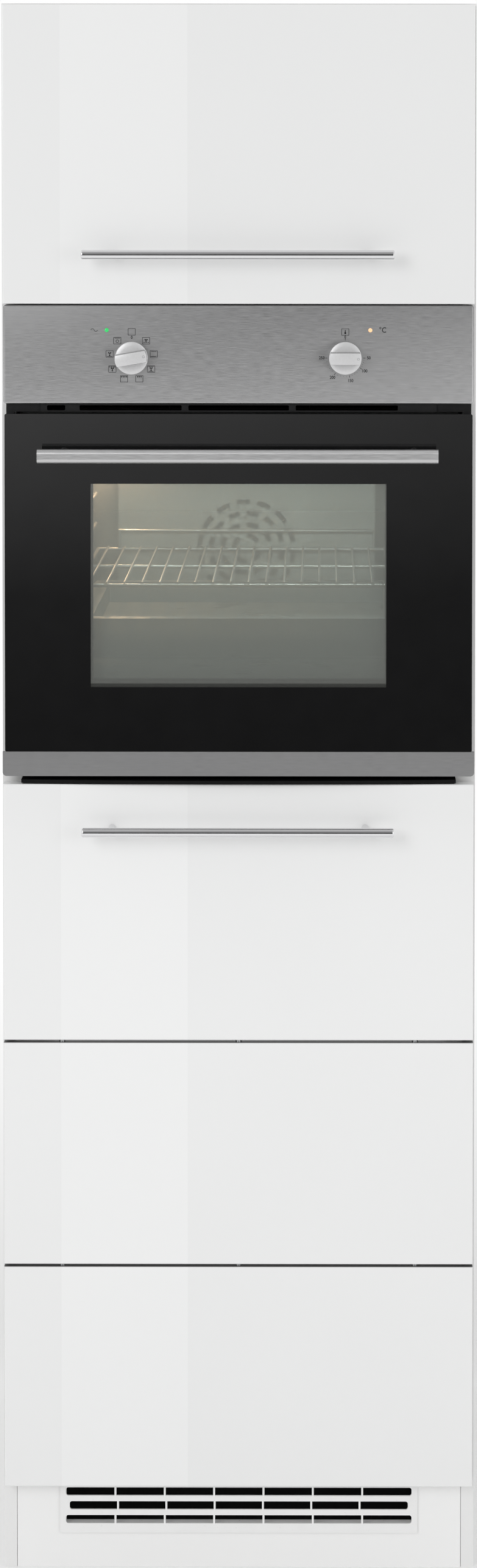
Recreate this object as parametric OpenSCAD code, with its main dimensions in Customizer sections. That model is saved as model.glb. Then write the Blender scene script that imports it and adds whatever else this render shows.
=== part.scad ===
// Tall oven housing unit: a 60 cm wide cabinet with a built-in oven at working height.
// Millimetres. X runs to the right, Y to the back and Z up; the origin lies on the floor,
// in the middle of the overall width and depth. The doors and the oven face -Y.

/* [Cabinet] */
// Outside width of the cabinet
cabinet_w = 600; // [594:1:620]
// Height of the cabinet above the floor
cabinet_h = 2000; // [1960:1:2080]
// Depth of the side panels, front edge to rear edge
carcass_d = 570; // [565:1:600]
// Thickness of the side panels, shelves, floors and rails
board_t = 16; // [15:0.5:18]
// Height of the plinth, which is the underside of the bottom panel
plinth_h = 110; // [108:1:140]
// Clear height of the lower compartment, a standard niche for a built-in fridge
fridge_niche_h = 878; // [872:1:890]
// Clear height of the oven niche
oven_niche_h = 600; // [600:1:606]
// Air shaft left open behind the shelves
rear_air_gap = 50; // [40:1:54]
// Thickness of the hardboard back of the top compartment
back_panel_t = 3; // [2.5:0.5:4]
// Height of the three rear rails
rear_rail_h = 100; // [80:1:120]

/* [Fronts] */
// Thickness of the doors
front_t = 18; // [17:0.5:20]
// Gap between the back of a closed door and the cabinet
front_gap = 3; // [2.8:0.1:4]
// Gap between a door's edge and the outside of the cabinet
side_reveal = 2.5; // [2:0.1:3.5]
// Radius on the front edges of the doors
front_edge_r = 1.5; // [0.8:0.1:3]
// Joint between neighbouring fronts
seam = 3; // [2:0.5:4]
// Height of the lowest of the three fronts on the lower door
lower_front_bottom_h = 283; // [270:1:300]
// Height of the middle front on the lower door
lower_front_middle_h = 284; // [270:1:300]
// Gap between the lower door and the top of the plinth
door_floor_gap = 3; // [2:0.5:4]
// Distance from the lower door's top edge to the top of the oven shelf
door_top_drop = 7.5; // [7:0.5:9]

/* [Bar handles] */
// Diameter of the bar
bar_d = 12; // [10:0.5:13]
// Length of the bar
bar_l = 392; // [340:1:440]
// Distance from the door's face to the far side of the bar
bar_reach = 35; // [30:1:40]
// Distance between the two posts
bar_post_spacing = 320; // [256:1:330]
// Diameter of the posts
bar_post_d = 9; // [8:0.5:10]
// Height of the bar's centre above the flap's lower edge
flap_handle_up = 63; // [40:1:90]
// Distance of the bar's centre below the lower door's top edge
lower_handle_down = 55; // [40:1:70]

/* [Concealed hinges] */
// Diameter of the cup
cup_d = 35; // [34:0.5:36]
// Depth of the cup
cup_depth = 11.8; // [11.5:0.1:12.6]
// Wall of the cup
cup_wall = 1; // [0.8:0.1:1.2]
// Distance of the pivot from the door's edge
pivot_edge = 7.2; // [7:0.1:7.3]
// Distance of the pivot from the door's back face
pivot_back = 8; // [7.8:0.1:8]
// Diameter of the hinge pin
hinge_pin_d = 2.5; // [2.2:0.1:2.8]
// Distance of the lowest hinge above the lower door's bottom edge
hinge_from_bottom = 77; // [60:1:100]
// Distance of the highest hinge below the lower door's top edge
hinge_from_top = 82; // [75:1:100]
// Distance of each flap hinge from the middle of the cabinet
flap_hinge_x = 190; // [150:1:210]

/* [Plinth grille] */
// Width of the grille
grille_w = 457; // [448:1:480]
// Height of the grille
grille_h = 64.5; // [62:0.5:64.5]
// Height of the grille's lower edge above the floor
grille_z = 44.5; // [42:0.5:45]
// Thickness of the grille's face
grille_t = 2.5; // [2:0.5:3]
// Height of a slot
grille_slot_h = 10.7; // [9:0.1:12]
// Distance from one row of slots to the next
grille_pitch = 17.9; // [16:0.1:18]
// Slots in a row
grille_slots = 7; // [5:1:9]
// Rows of slots
grille_rows = 3; // [1:1:3]

/* [Oven front] */
// Height of the control panel
fascia_h = 124.5; // [120:0.5:126]
// Depth of the control panel's shell
fascia_d = 20; // [18:0.5:20]
// Height of the air outlet between the control panel and the door
vent_gap = 13; // [12:0.5:15]
// Height of the steel strip along the door's lower edge
strip_h = 31; // [26:1:34]
// Thickness of the outer door glass
outer_glass_t = 4; // [4:0.5:5]
// Thickness of the inner door glass
inner_glass_t = 4; // [3:0.5:4.5]
// Distance from the door's face to the inner glass
door_frame_back = 26; // [24:0.5:26.5]
// Width of each side column of the door frame
column_w = 30; // [26:1:36]
// Height of the hinge pin above the door's lower edge
door_pivot_up = 8; // [8:0.1:8.5]
// Distance of the hinge pin behind the door's face
door_pivot_in = 9; // [8.5:0.1:9]
// Diameter of the oven door's hinge pin
door_pin_d = 4; // [3.5:0.1:4.4]
// Height of the door handle
oven_bar_h = 18; // [16:0.5:20]
// Depth of the door handle
oven_bar_t = 12; // [10:0.5:14]
// Length of the door handle
oven_bar_l = 501; // [470:1:520]
// Distance from the door's face to the far side of the handle
handle_reach = 42; // [40:1:50]
// Distance of the handle's centre below the top of the door glass
oven_bar_down = 50; // [40:1:70]

/* [Controls] */
// Distance of each knob from the middle of the panel
knob_x = 134.5; // [110:0.5:150]
// Height of the knobs above the panel's lower edge
knob_up = 58; // [50:1:68]
// Diameter of a knob
knob_d = 41; // [36:0.5:44]
// Height of a knob's grip above the panel
knob_h = 24; // [20:0.5:28]
// Width of the grip
grip_w = 15; // [12:0.5:18]
// Diameter of the switch spindles
spindle_d = 6; // [5:0.5:7]
// Distance of each signal light from the middle of the panel
lamp_x = 166; // [158:0.5:180]
// Height of the signal lights above the panel's lower edge
lamp_up = 93; // [88:1:105]
// Diameter of a signal light
lamp_d = 5.2; // [4:0.1:6]

/* [Oven body] */
// Depth of the sheet-metal casing
casing_d = 489; // [486:1:492]
// Thickness of the casing's sheet
sheet_t = 1; // [0.8:0.1:1.2]
// Clear width of the baking compartment
cavity_w = 440; // [430:1:450]
// Distance from the top of the baking compartment to the top of the door glass
cavity_top_drop = 36; // [36:1:46]
// Depth of the baking compartment
cavity_d = 425; // [422:1:430]
// Thickness of the enamelled liner
liner_t = 1.2; // [1:0.1:1.5]
// Thickness of the insulation
insulation_t = 20; // [15:1:22]
// Height of the baking compartment's floor above the oven shelf
cavity_up = 76; // [74:1:78]

/* [Inside the oven] */
// Levels for trays and shelves on each side
rack_levels = 6; // [4:1:6]
// Distance from one level to the next
rack_pitch = 42; // [36:1:43]
// Height of the lowest rail above the compartment's floor
rack_low = 30.6; // [26:0.2:34]
// Diameter of the rack's wires
rack_wire_d = 5; // [4:0.5:5.5]
// Wires across the shelf
shelf_wires = 18; // [12:2:18]
// Distance from one shelf wire to the next
shelf_pitch = 22.7; // [20:0.1:23]
// Diameter of the shelf's thin wires
shelf_wire_d = 3.2; // [2.5:0.1:4]
// Depth of the baking tray
tray_depth = 28; // [20:1:32]
// Diameter of the heating tubes
heater_d = 6.5; // [5:0.5:7]
// Diameter of the cooling fan's wheel
blower_d = 70; // [60:1:76]

/* [Hidden] */
$fn = 48;

// Clearances
eps = 1;  // how far a cut runs past the face it opens
run_fit = 0.05;  // radial play of a shaft in its bearing
push_fit = 0.02;  // radial play of a pin pressed or glued into its hole
loose_fit = 0.5;  // radial play of a screw or bolt in a through hole
seat_gap = 0.3;  // gap between a loose piece and what carries it
head_gap = 0.05;  // gap under a screw's head, which keeps the screw a piece of its own

// Depth: planes parallel to the front
overall_d = handle_reach + front_t + front_gap + carcass_d;
y_front = handle_reach - overall_d / 2;  // face of the doors and of the oven
y_door_back = y_front + front_t;
y_carcass = y_door_back + front_gap;  // front edges of the side panels
y_back = y_carcass + carcass_d;
y_board_end = y_back - rear_air_gap;

// Width
x_side = cabinet_w / 2;
x_niche = x_side - board_t;  // inner faces of the side panels
x_front = x_side - side_reveal;  // edges of the doors

// Height
z_bottom_top = plinth_h + board_t;
z_shelf = z_bottom_top + fridge_niche_h;
z_oven = z_shelf + board_t;  // floor of the oven niche
z_floor = z_oven + oven_niche_h;
z_floor_top = z_floor + board_t;
z_top = cabinet_h - board_t;

// Doors
front_reveal = 2;  // between a front and the cabinet's top edge
z_door_low = plinth_h + door_floor_gap;
z_door_high = z_oven - door_top_drop;
z_seam_1 = z_door_low + lower_front_bottom_h;
z_seam_2 = z_seam_1 + seam + lower_front_middle_h;
flap_low_up = 1;  // of the flap's edge, above the oven niche
z_flap_low = z_floor + flap_low_up;
z_flap_high = cabinet_h - front_reveal;
z_flap_handle = z_flap_low + flap_handle_up;
z_lower_handle = z_door_high - lower_handle_down;

// Concealed hinges
pivot_to_carcass = pivot_back + front_gap;
y_pivot = y_carcass - pivot_to_carcass;
x_door_pivot = x_front - pivot_edge;
z_flap_pivot = z_flap_high - pivot_edge;
cup_centre = 20.5;  // from the door's edge
cup_in = cup_centre - pivot_edge;  // from the pivot
hinge_pin_l = 2 * sqrt(pow(cup_d / 2, 2) - pow(cup_in + hinge_pin_d / 2, 2));
cup_flange_t = 1;
cup_wing = 24;  // screw holes above and below the cup
cup_screw_d = 3.5;
cup_screw_l = 12;
cup_flange_d = cup_d + 3;
cup_wing_w = 12;
cup_wing_end = 5;  // beyond the screw holes
cup_head_d = cup_screw_d + 3;
cup_head_t = 1;
cup_floor_play = 0.2;
cup_pocket_play = 0.1;
arm_w = 8;
arm_t = 2;
arm_leg_in = 13;  // the arm's leg, inward of the pivot
arm_plate_y = [22, 52];  // mounting plate, behind the front edge
arm_plate_w = 48;
arm_screw_d = 5;
arm_screw_l = 11;
arm_head_d = arm_screw_d + 2.5;
arm_head_t = 1.5;
arm_screw_y = (arm_plate_y[0] + arm_plate_y[1]) / 2;
arm_screw_z = 16;
lower_hinge_z = [z_door_low + hinge_from_bottom, (z_seam_1 + seam + z_seam_2) / 2,
                 z_door_high - hinge_from_top];
lower_seat = x_door_pivot - x_niche;  // from the pivot to the side panel
flap_seat = z_flap_pivot - z_top;  // from the pivot to the top panel

// Cabinet fittings
dowel_d = 8;
dowel_l = 32;
dowel_in_side = 12;
dowel_end_gap = 0.5;
cam_d = 15;
cam_h = 12;
cam_set = 34;
bolt_d = 6;
bolt_in_side = 10;
fitting_inset = 37;
fitting_pitch = 32;
cam_y = [y_carcass + fitting_inset, y_board_end - fitting_inset];
dowel_y = [cam_y[0] + fitting_pitch, cam_y[1] - fitting_pitch];
board_z = [plinth_h, z_shelf, z_floor, z_top];
rail_z = [plinth_h, z_shelf - rear_rail_h, cabinet_h - rear_rail_h];
rail_y = y_back - board_t / 2;
rail_dowel_z = [25, rear_rail_h - 25];
back_groove = 8;
back_play = 0.1;
wall_hole_d = 6;
wall_hole_x = 200;
access_hole_d = 20;
z_wall_hole = cabinet_h - rear_rail_h / 2;
connector_d = 8;
connector_l = 27;
connector_x = [-224, 0, 224];
buffer_d = 8;
buffer_from_end = 20;  // of the lower door
buffer_from_side = 30;  // of the oven niche

// Plinth
plinth_play = 0.5;
y_plinth = y_carcass + plinth_play;
grille_slot_low = 12.4;  // first row, above the grille's lower edge
grille_row_w = [grille_w - 15, grille_w - 24.4, grille_w - 15];
grille_bar_w = 2.4;
grille_slot_r = 3;
spigot_w = grille_w - 11;
spigot_low = 8.5;
spigot_h = grille_h - 12.5;
spigot_t = 1.5;
spigot_d = 14;

// Handles
handle_screw_d = 4;
handle_screw_in = 10;
handle_head_d = 8;
handle_head_t = 2.2;
bar_end_r = 2;

// Oven front
oven_reveal = 3;  // below the door strip
z_strip = z_oven + oven_reveal;
z_glass = z_strip + strip_h;
z_panel_top = z_floor - 0.5;
z_panel = z_panel_top - fascia_h;
z_glass_top = z_panel - vent_gap;
x_fascia = x_side - 3.5;
x_glass = x_side - 5;
x_strip = x_side - 2;
strip_proud = 0.5;
strip_r = 5;
fascia_t = 1.5;
fascia_r = 3;
x_body = x_niche - 6;  // half width of the oven's casing
y_glass_back = y_front + outer_glass_t;
y_frame_back = y_front + door_frame_back;
y_inner_back = y_frame_back + inner_glass_t;
y_rim = y_front + 36.8;  // front of the cavity's front frame
rim_t = 1.2;
rim_r = 2;
rim_lap = 1;  // of the rim, past the casing's sides
mouth_r = 4;
seal_in = 3;  // outside the mouth of the compartment
seal_out = 12;
y_cavity = y_rim + rim_t;
y_casing = y_front + 52;
y_casing_back = y_casing + casing_d;
air_slots = 6;  // in the casing's rear wall
air_slot_x = [60, 150];
air_slot_h = 4;
air_slot_pitch = 14;
air_slot_up = 60;

// Trim in the air gap above the door
vent_in = 8;  // behind the door's face
vent_d = 42;
vent_step = 4;  // the end pieces stand back by this much
vent_slot_edge = 2;
vent_slot_r = 1.5;
vent_lap = 5;  // of the end pieces, behind the door's glass
x_vent = x_niche - 2;
x_vent_mid = x_vent - 32;
x_vent_end = x_glass - 1;
vent_slots = [[-x_vent + 40, -x_vent + 63], [-x_vent + 81, -72], [-63.5, 63.5], [72, x_vent - 81]];

// Oven door
y_door_pivot = y_front + door_pivot_in;
z_door_pivot = z_strip + door_pivot_up;
z_frame_low = z_strip + 4;
z_frame_high = z_glass_top - 4;
frame_beam_h = 26;
x_inner_glass = x_body - 20;
z_inner_low = z_glass + 8;
z_inner_high = z_frame_high - 8;
glass_ledge_h = 3.7;
glass_ledge_x = [100, 130];
frame_face_t = 0.4;  // left in front of the hinge arm's slot
frame_slot_play = 0.8;
receiver_x = x_body - 14;  // middle of the receiver's plate
receiver_t = 6;
receiver_h = 7;
receiver_slot = 8;
receiver_y = [y_casing + 4, y_casing + 58];  // foot that is riveted to the casing's floor
pin_l = 24;
oven_post_x = oven_bar_l / 2 - 28.5;
oven_post_d = 10;
oven_screw_d = 5;
oven_screw_in = 14;
oven_head_d = oven_screw_d + 5;
oven_head_t = 3;
z_oven_bar = z_glass_top - oven_bar_down;

// Control panel
z_knob = z_panel + knob_up;
z_lamp = z_panel + lamp_up;
y_tray = y_front + fascia_d;
tray_t = 1.2;
switch_w = 40;
switch_d = 34;
switch_r = 3;
switch_floor = 6;  // left behind the spindle's bore
neck_d = 10;
neck_play = 0.2;
neck_back = 1.5;  // of the neck's end, behind the panel's sheet
tray_play = 1;
y_tray_back = y_front + 48;
lamp_proud = 0.6;
lamp_play = 0.1;
lamp_collar_d = lamp_d + 2;
knob_gap = 0.8;
spindle_front = y_front - knob_h + 6;  // bottom of the knob's bore
skirt_h = 8.2;
skirt_taper = 2;
grip_inset = 1.2;  // of the grip's ends, inside the skirt's edge
grip_r = 2;
function_pointer = 80;  // clockwise from the top, as it rests
temperature_pointer = 90;
capillary_d = 2;
bulb_d = 5;
bulb_l = 75;
bulb_front = 3;  // of the bulb's end, before the rear wall
capillary_back = 16;  // of its drop, behind the insulation

// Oven body
z_cavity = z_oven + cavity_up;
z_cavity_top = z_glass_top - cavity_top_drop;
cavity_h = z_cavity_top - z_cavity;
z_casing_top = z_floor - 12;
z_rim_low = z_cavity - 24;
z_rim_high = z_glass_top + 2;
z_lower_front = z_rim_low;
y_liner_back = y_cavity + cavity_d;
y_liner_out = y_liner_back + liner_t;
y_insulation_back = y_liner_out + insulation_t;
base_space = 10;  // below the liner, for the base element
z_fan = z_cavity + 0.46 * cavity_h;
cover_depth = 45;
cover_side_gap = 40;  // from the compartment's side walls
cover_up = 3;  // of its middle, above the fan's shaft
cover_t = 1;
cover_r = 12;
y_fan_cover = y_liner_back - cover_depth;
x_cover = cavity_w / 2 - cover_side_gap;
cover_h = cavity_h - 100;
z_cover = z_fan - cover_h / 2 + cover_up;
fan_d = 0.6 * cover_h;
slot_radii = [18, 34, 50, 66];
slot_count = [4, 8, 12, 14];
slot_w = 7;
slot_bridge = 10;  // between slots of one ring
fan_depth = 20;
fan_blades = 10;
fan_blade_t = 1.2;
fan_blade_in = 9;
fan_disc_t = 1;
fan_hub_d = 22;
fan_front = 2;  // of the hub and blades, behind the shaft's end
y_fan = y_fan_cover + 9;
motor_d = 60;
motor_l = 38;
motor_post_r = 38;
motor_plate_d = 2 * motor_post_r + 12;
motor_plate_t = 2;
motor_floor = 6;  // left behind the shaft's bore
shaft_end_gap = 3;
motor_gap = 1;  // between the insulation and the plate
post_d = 6;
ring_r = fan_d / 2 + 20;
grill_x = 140;
grill_bend_x = 0.55 * grill_x;
grill_bend_in = 40;  // of the middle loop's rear bend
grill_y = [y_cavity + 55, y_liner_back - 65];
grill_clip_w = 8;
grill_clip_t = 1.5;
grill_clip_y = grill_y[0] + 60;
ring_behind = 2;  // of the ring heater, behind the fan's middle
heater_end = 12;  // behind the insulation
z_grill = z_cavity_top - 16;
z_base = z_cavity - liner_t - heater_d / 2 - seat_gap;
terminal_x = 40;
heater_hole_d = heater_d + 0.7;
lamp_hole_d = 30;
lamp_glass_d = lamp_hole_d - 8;
lamp_glass_y = [y_liner_out - 26, y_liner_out + 8];
lamp_flange_d = lamp_hole_d + 14;
lamp_flange_t = 5;
lamp_socket_d = lamp_hole_d - 0.6;
lamp_socket_back = 6;  // behind the insulation
liner_shaft_hole = 12;
wool_shaft_hole = 16;
oven_lamp_x = cavity_w / 2 - 35;
z_oven_lamp = z_cavity_top - 31;
z_bulb = z_cavity_top - 34;

// Screws between the oven and the side panels
y_fixing = y_cavity + 7;
fixing_in = 30;  // from the ends of the cavity's front frame
fixing_z = [z_rim_low + fixing_in, z_rim_high - fixing_in];
fixing_d = 4;
fixing_head_d = fixing_d + 4;
fixing_head_t = 2;
fixing_in_side = 12;

// Racks, shelf and tray
rack_x = cavity_w / 2 - 5.5;  // the rack's uprights
rail_x = cavity_w / 2 - 10;
shelf_x = rail_x - 2;
rack_y = [y_cavity + 37, y_liner_back - 78];
rail_span = [y_cavity + 17, y_liner_back - 63];
rack_z = [z_cavity + rack_low - 10, z_cavity + rack_low + (rack_levels - 1) * rack_pitch + 14];
shelf_rail = 3;  // the rail that carries the shelf, from below
tray_rail = 2;
shelf_frame_d = 5;
shelf_lift = sqrt(pow((rack_wire_d + shelf_frame_d) / 2, 2) - pow(rail_x - shelf_x, 2));
z_low_rail = z_cavity + rack_low;
z_shelf_frame = z_low_rail + shelf_rail * rack_pitch + shelf_lift + seat_gap;
z_tray = z_low_rail + tray_rail * rack_pitch + rack_wire_d / 2 + seat_gap;
shelf_y = [y_cavity + 14, y_fan_cover - 8];
shelf_mid = (shelf_y[0] + shelf_y[1]) / 2;
shelf_weld = 0.8;  // how far a thin wire sinks into the frame
shelf_wire_end = 0.5;  // of a thin wire, behind the frame's front
gallery_d = shelf_frame_d - 0.5;
gallery_h = 26;
gallery_x = 178;
tray_y = [y_cavity + 17, y_fan_cover - 13];
tray_rim = 19;
tray_sheet = 1.2;
tray_x = rail_x - 1;

// Cooling blower
z_deck = z_rim_high + 0.5;
deck_d = 368;
y_blower = y_casing + 173;
scroll_r = blower_d / 2 + 9.5;
z_blower = z_deck + sheet_t / 2 + scroll_r;  // the scroll is sunk into the deck
scroll_x = 90;
wheel_x = 80;
duct_h = 14.5;
blower_blades = 24;
blower_motor_d = 48;
blower_motor_l = 35;
blower_inlet_d = blower_d - 14;
blower_flange_t = 2;
blower_flange_x = -scroll_x - 12;  // of the motor's flange
blower_shaft_in = 4;  // of the shaft's end, inside the motor's
blower_bore_in = 10;
blower_disc_t = 2;
blower_blade_h = 5.5;
blower_blade_t = 1;
motor_arm_r = (scroll_r + blower_inlet_d / 2) / 2;  // from the shaft to the motor's posts
deck_play = 0.1;
deck_front = 0.5;  // behind the casing's front edge

// Connection box
terminal_box_side = 77.5;  // of its middle, from the casing's side
terminal_box_w = 65;
terminal_box_d = 22;
terminal_box_h = 42;
terminal_box_down = 70;  // of its lower edge, below the casing's top
cable_neck_l = 14;
cable_neck_d = 18;
cable_d = 11;
terminal_t = 2;  // wall above the cable
terminal_r = 3;

// Air deflector under the oven door
lip_x = x_niche - 9;
lip_z = [z_oven - 6.2, z_oven - 2];
lip_t = 1.2;
lip_bow = 10;
lip_setback = 3;  // of its ends, behind the door's face
lip_play = 0.3;
lip_foot_y = y_carcass + 26;

// Colours
white = [0.94, 0.94, 0.93];
board_white = [0.9, 0.9, 0.89];
steel = [0.62, 0.62, 0.62];
chrome = [0.8, 0.8, 0.81];
zinc = [0.7, 0.71, 0.72];
black = [0.06, 0.06, 0.065];
enamel = [0.16, 0.17, 0.18];
galvanised = [0.66, 0.68, 0.69];
wool = [0.86, 0.82, 0.7];
hardboard = [0.93, 0.92, 0.9];
beech = [0.8, 0.62, 0.42];

// ---------------------------------------------------------------- shapes used more than once

// Box between two corners
module block(x, y, z)
    translate([x[0], y[0], z[0]]) cube([x[1] - x[0], y[1] - y[0], z[1] - z[0]]);

// Round bar along X, Y or Z
module rod_x(x, y, z, d)
    translate([x[0], y, z]) rotate([0, 90, 0]) cylinder(d = d, h = x[1] - x[0]);
module rod_y(x, y, z, d)
    translate([x, y[0], z]) rotate([-90, 0, 0]) cylinder(d = d, h = y[1] - y[0]);
module rod_z(x, y, z, d)
    translate([x, y, z[0]]) cylinder(d = d, h = z[1] - z[0]);

// Upright plate with rounded corners, seen from the front
module plate_xz(x, y, z, r) {
    block([x[0] + r, x[1] - r], y, z);
    block(x, y, [z[0] + r, z[1] - r]);
    for (cx = [x[0] + r, x[1] - r], cz = [z[0] + r, z[1] - r]) rod_y(cx, y, cz, 2 * r);
}

// Left and right copies of a piece drawn on the right
module both_sides() {
    children();
    mirror([1, 0, 0]) children();
}

// Tube through a list of points, with round elbows
module tube_path(points, d) {
    for (i = [0 : len(points) - 2]) {
        step = points[i + 1] - points[i];
        translate(points[i]) rotate([0, acos(step[2] / norm(step)), atan2(step[1], step[0])])
            cylinder(d = d, h = norm(step));
    }
    for (i = [1 : len(points) - 2]) translate(points[i]) sphere(d = d);
}

// Cross-section of a board whose two front edges are rounded; it lies along x, front at y = 0
module edge_section(l, t, r) {
    translate([0, r]) square([l, t - r]);
    translate([r, 0]) square([l - 2 * r, t]);
    for (x = [r, l - r]) translate([x, r]) circle(r = r);
}

// Door board with all four front edges rounded
module front_board(x, z)
    translate([x[0], y_front, z[0]]) intersection() {
        linear_extrude(z[1] - z[0]) edge_section(x[1] - x[0], front_t, front_edge_r);
        translate([x[1] - x[0], 0, 0]) rotate([0, -90, 0])
            linear_extrude(x[1] - x[0]) edge_section(z[1] - z[0], front_t, front_edge_r);
    }

// ---------------------------------------------------------------- cabinet

// Horizontal board between the side panels, with its dowel holes and cam pockets
module board(z) {
    difference() {
        block([-x_niche, x_niche], [y_carcass, y_board_end], [z, z + board_t]);
        both_sides() {
            for (y = dowel_y)
                rod_x([x_niche - (dowel_l - dowel_in_side) - dowel_end_gap, x_niche + eps],
                      y, z + board_t / 2, dowel_d + 2 * push_fit);
            for (y = cam_y) {
                rod_z(x_niche - cam_set, y, [z - eps, z + cam_h + dowel_end_gap],
                      cam_d + 2 * push_fit);
                rod_x([x_niche - cam_set, x_niche + eps], y, z + board_t / 2,
                      bolt_d + 2 * loose_fit);
            }
        }
    }
}

// Dowels, cams and bolts of one end of one board
module board_fittings(z) {
    zc = z + board_t / 2;
    for (y = dowel_y)
        color(beech) rod_x([x_niche - dowel_l + dowel_in_side, x_niche + dowel_in_side],
                           y, zc, dowel_d);
    for (y = cam_y) color(zinc) {
        difference() {
            rod_z(x_niche - cam_set, y, [z, z + cam_h], cam_d);
            rod_x([x_niche - cam_set, x_niche], y, zc, bolt_d + 4 * run_fit);
        }
        rod_x([x_niche - cam_set + 0.2, x_niche + bolt_in_side], y, zc, bolt_d);
    }
}

// Right side panel; the lower door hangs on it where hinged is true
module side_panel(hinged) {
    difference() {
        block([x_niche, x_side], [y_carcass, y_back], [0, cabinet_h]);
        for (z = board_z) {
            for (y = dowel_y)
                rod_x([x_niche - eps, x_niche + dowel_in_side + dowel_end_gap],
                      y, z + board_t / 2, dowel_d + 2 * push_fit);
            for (y = cam_y)
                rod_x([x_niche - eps, x_niche + bolt_in_side + dowel_end_gap],
                      y, z + board_t / 2, bolt_d + 2 * push_fit);
        }
        for (z = rail_z, dz = rail_dowel_z)
            rod_x([x_niche - eps, x_niche + dowel_in_side + dowel_end_gap],
                  rail_y, z + dz, dowel_d + 2 * push_fit);
        block([x_niche - eps, x_niche + back_groove],
              [y_board_end, y_board_end + back_panel_t + 2 * back_play],
              [z_floor, cabinet_h + eps]);
        for (z = fixing_z)
            rod_x([x_niche - eps, x_niche + fixing_in_side + dowel_end_gap],
                  y_fixing, z, fixing_d + 2 * push_fit);
        if (hinged)
            for (z = lower_hinge_z, dz = [-arm_screw_z, arm_screw_z])
                rod_x([x_niche - eps, x_niche + arm_screw_l + dowel_end_gap],
                      y_carcass + arm_screw_y, z + dz, arm_screw_d + 2 * push_fit);
    }
}

module side_panel_left() color(white) mirror([1, 0, 0]) side_panel(false);
module side_panel_right() color(white) side_panel(true);

module top_panel() {
    color(board_white) difference() {
        board(z_top);
        for (x = [-flap_hinge_x, flap_hinge_x], dx = [-arm_screw_z, arm_screw_z])
            rod_z(x + dx, y_carcass + arm_screw_y,
                  [z_top - eps, z_top + arm_screw_l + dowel_end_gap],
                  arm_screw_d + 2 * push_fit);
    }
}

module compartment_floor() color(board_white) board(z_floor);
module oven_shelf() color(board_white) board(z_shelf);
module bottom_panel() color(board_white) board(plinth_h);

// Hardboard back of the top compartment, with holes that reach the wall screws
module upper_back_panel() {
    color(hardboard) difference() {
        block([-(x_niche + back_groove - 1), x_niche + back_groove - 1],
              [y_board_end + back_play, y_board_end + back_play + back_panel_t],
              [z_floor + 2, cabinet_h - 2]);
        for (x = [-wall_hole_x, wall_hole_x])
            rod_y(x, [y_board_end - eps, y_board_end + back_panel_t + eps], z_wall_hole,
                  access_hole_d);
    }
}

module rear_rails() {
    color(board_white) difference() {
        for (z = rail_z) block([-x_niche, x_niche], [y_back - board_t, y_back],
                               [z, z + rear_rail_h]);
        both_sides() for (z = rail_z, dz = rail_dowel_z)
            rod_x([x_niche - (dowel_l - dowel_in_side) - dowel_end_gap, x_niche + eps],
                  rail_y, z + dz, dowel_d + 2 * push_fit);
        for (x = [-wall_hole_x, wall_hole_x])
            rod_y(x, [y_back - board_t - eps, y_back + eps], z_wall_hole, wall_hole_d);
    }
}

module plinth_board() {
    color(white) difference() {
        block([-(x_niche - plinth_play), x_niche - plinth_play],
              [y_plinth, y_plinth + board_t], [0, plinth_h]);
        block([-(spigot_w / 2 + plinth_play), spigot_w / 2 + plinth_play],
              [y_plinth - eps, y_plinth + board_t + eps],
              [grille_z + spigot_low - plinth_play,
               grille_z + spigot_low + spigot_h + plinth_play]);
    }
}

// Air grille with rows of slots and a collar that pushes into the plinth
module plinth_grille() {
    low = grille_z + spigot_low;
    color(white) {
        difference() {
            plate_xz([-grille_w / 2, grille_w / 2], [y_plinth - grille_t, y_plinth],
                     [grille_z, grille_z + grille_h], 2);
            for (row = [0 : grille_rows - 1])
                plate_xz([-grille_row_w[row] / 2, grille_row_w[row] / 2],
                         [y_plinth - grille_t - eps, y_plinth + eps],
                         [grille_z + grille_slot_low + row * grille_pitch,
                          grille_z + grille_slot_low + row * grille_pitch + grille_slot_h],
                         grille_slot_r);
        }
        for (row = [0 : grille_rows - 1], i = [1 : grille_slots - 1]) {
            x = grille_row_w[row] * (i / grille_slots - 0.5);
            z = grille_z + grille_slot_low + row * grille_pitch;
            block([x - grille_bar_w / 2, x + grille_bar_w / 2],
                  [y_plinth - grille_t, y_plinth], [z - eps, z + grille_slot_h + eps]);
        }
        difference() {
            block([-spigot_w / 2, spigot_w / 2], [y_plinth, y_plinth + spigot_d],
                  [low, low + spigot_h]);
            block([-spigot_w / 2 + spigot_t, spigot_w / 2 - spigot_t],
                  [y_plinth - eps, y_plinth + spigot_d + eps],
                  [low + spigot_t, low + spigot_h - spigot_t]);
        }
    }
}

module joining_fittings() {
    both_sides() {
        for (z = board_z) board_fittings(z);
        for (z = rail_z, dz = rail_dowel_z)
            color(beech) rod_x([x_niche - dowel_l + dowel_in_side, x_niche + dowel_in_side],
                               rail_y, z + dz, dowel_d);
    }
}

// Soft buffers that the closed doors rest against
module door_buffers() {
    y = [y_carcass - front_gap + seat_gap, y_carcass];
    color([0.85, 0.85, 0.85]) {
        for (z = [z_door_low + buffer_from_end, z_door_high - buffer_from_end])
            rod_y(-x_side + board_t / 2, y, z, buffer_d);
        for (x = [-x_niche + buffer_from_side, x_niche - buffer_from_side])
            rod_y(x, y, z_floor + board_t / 2, buffer_d);
    }
}

// ---------------------------------------------------------------- concealed hinges
// Drawn with the pivot at the origin along z, the door's face towards -y and the door's
// middle towards -x. seat is the distance from the pivot to the board that carries the arm.

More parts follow.
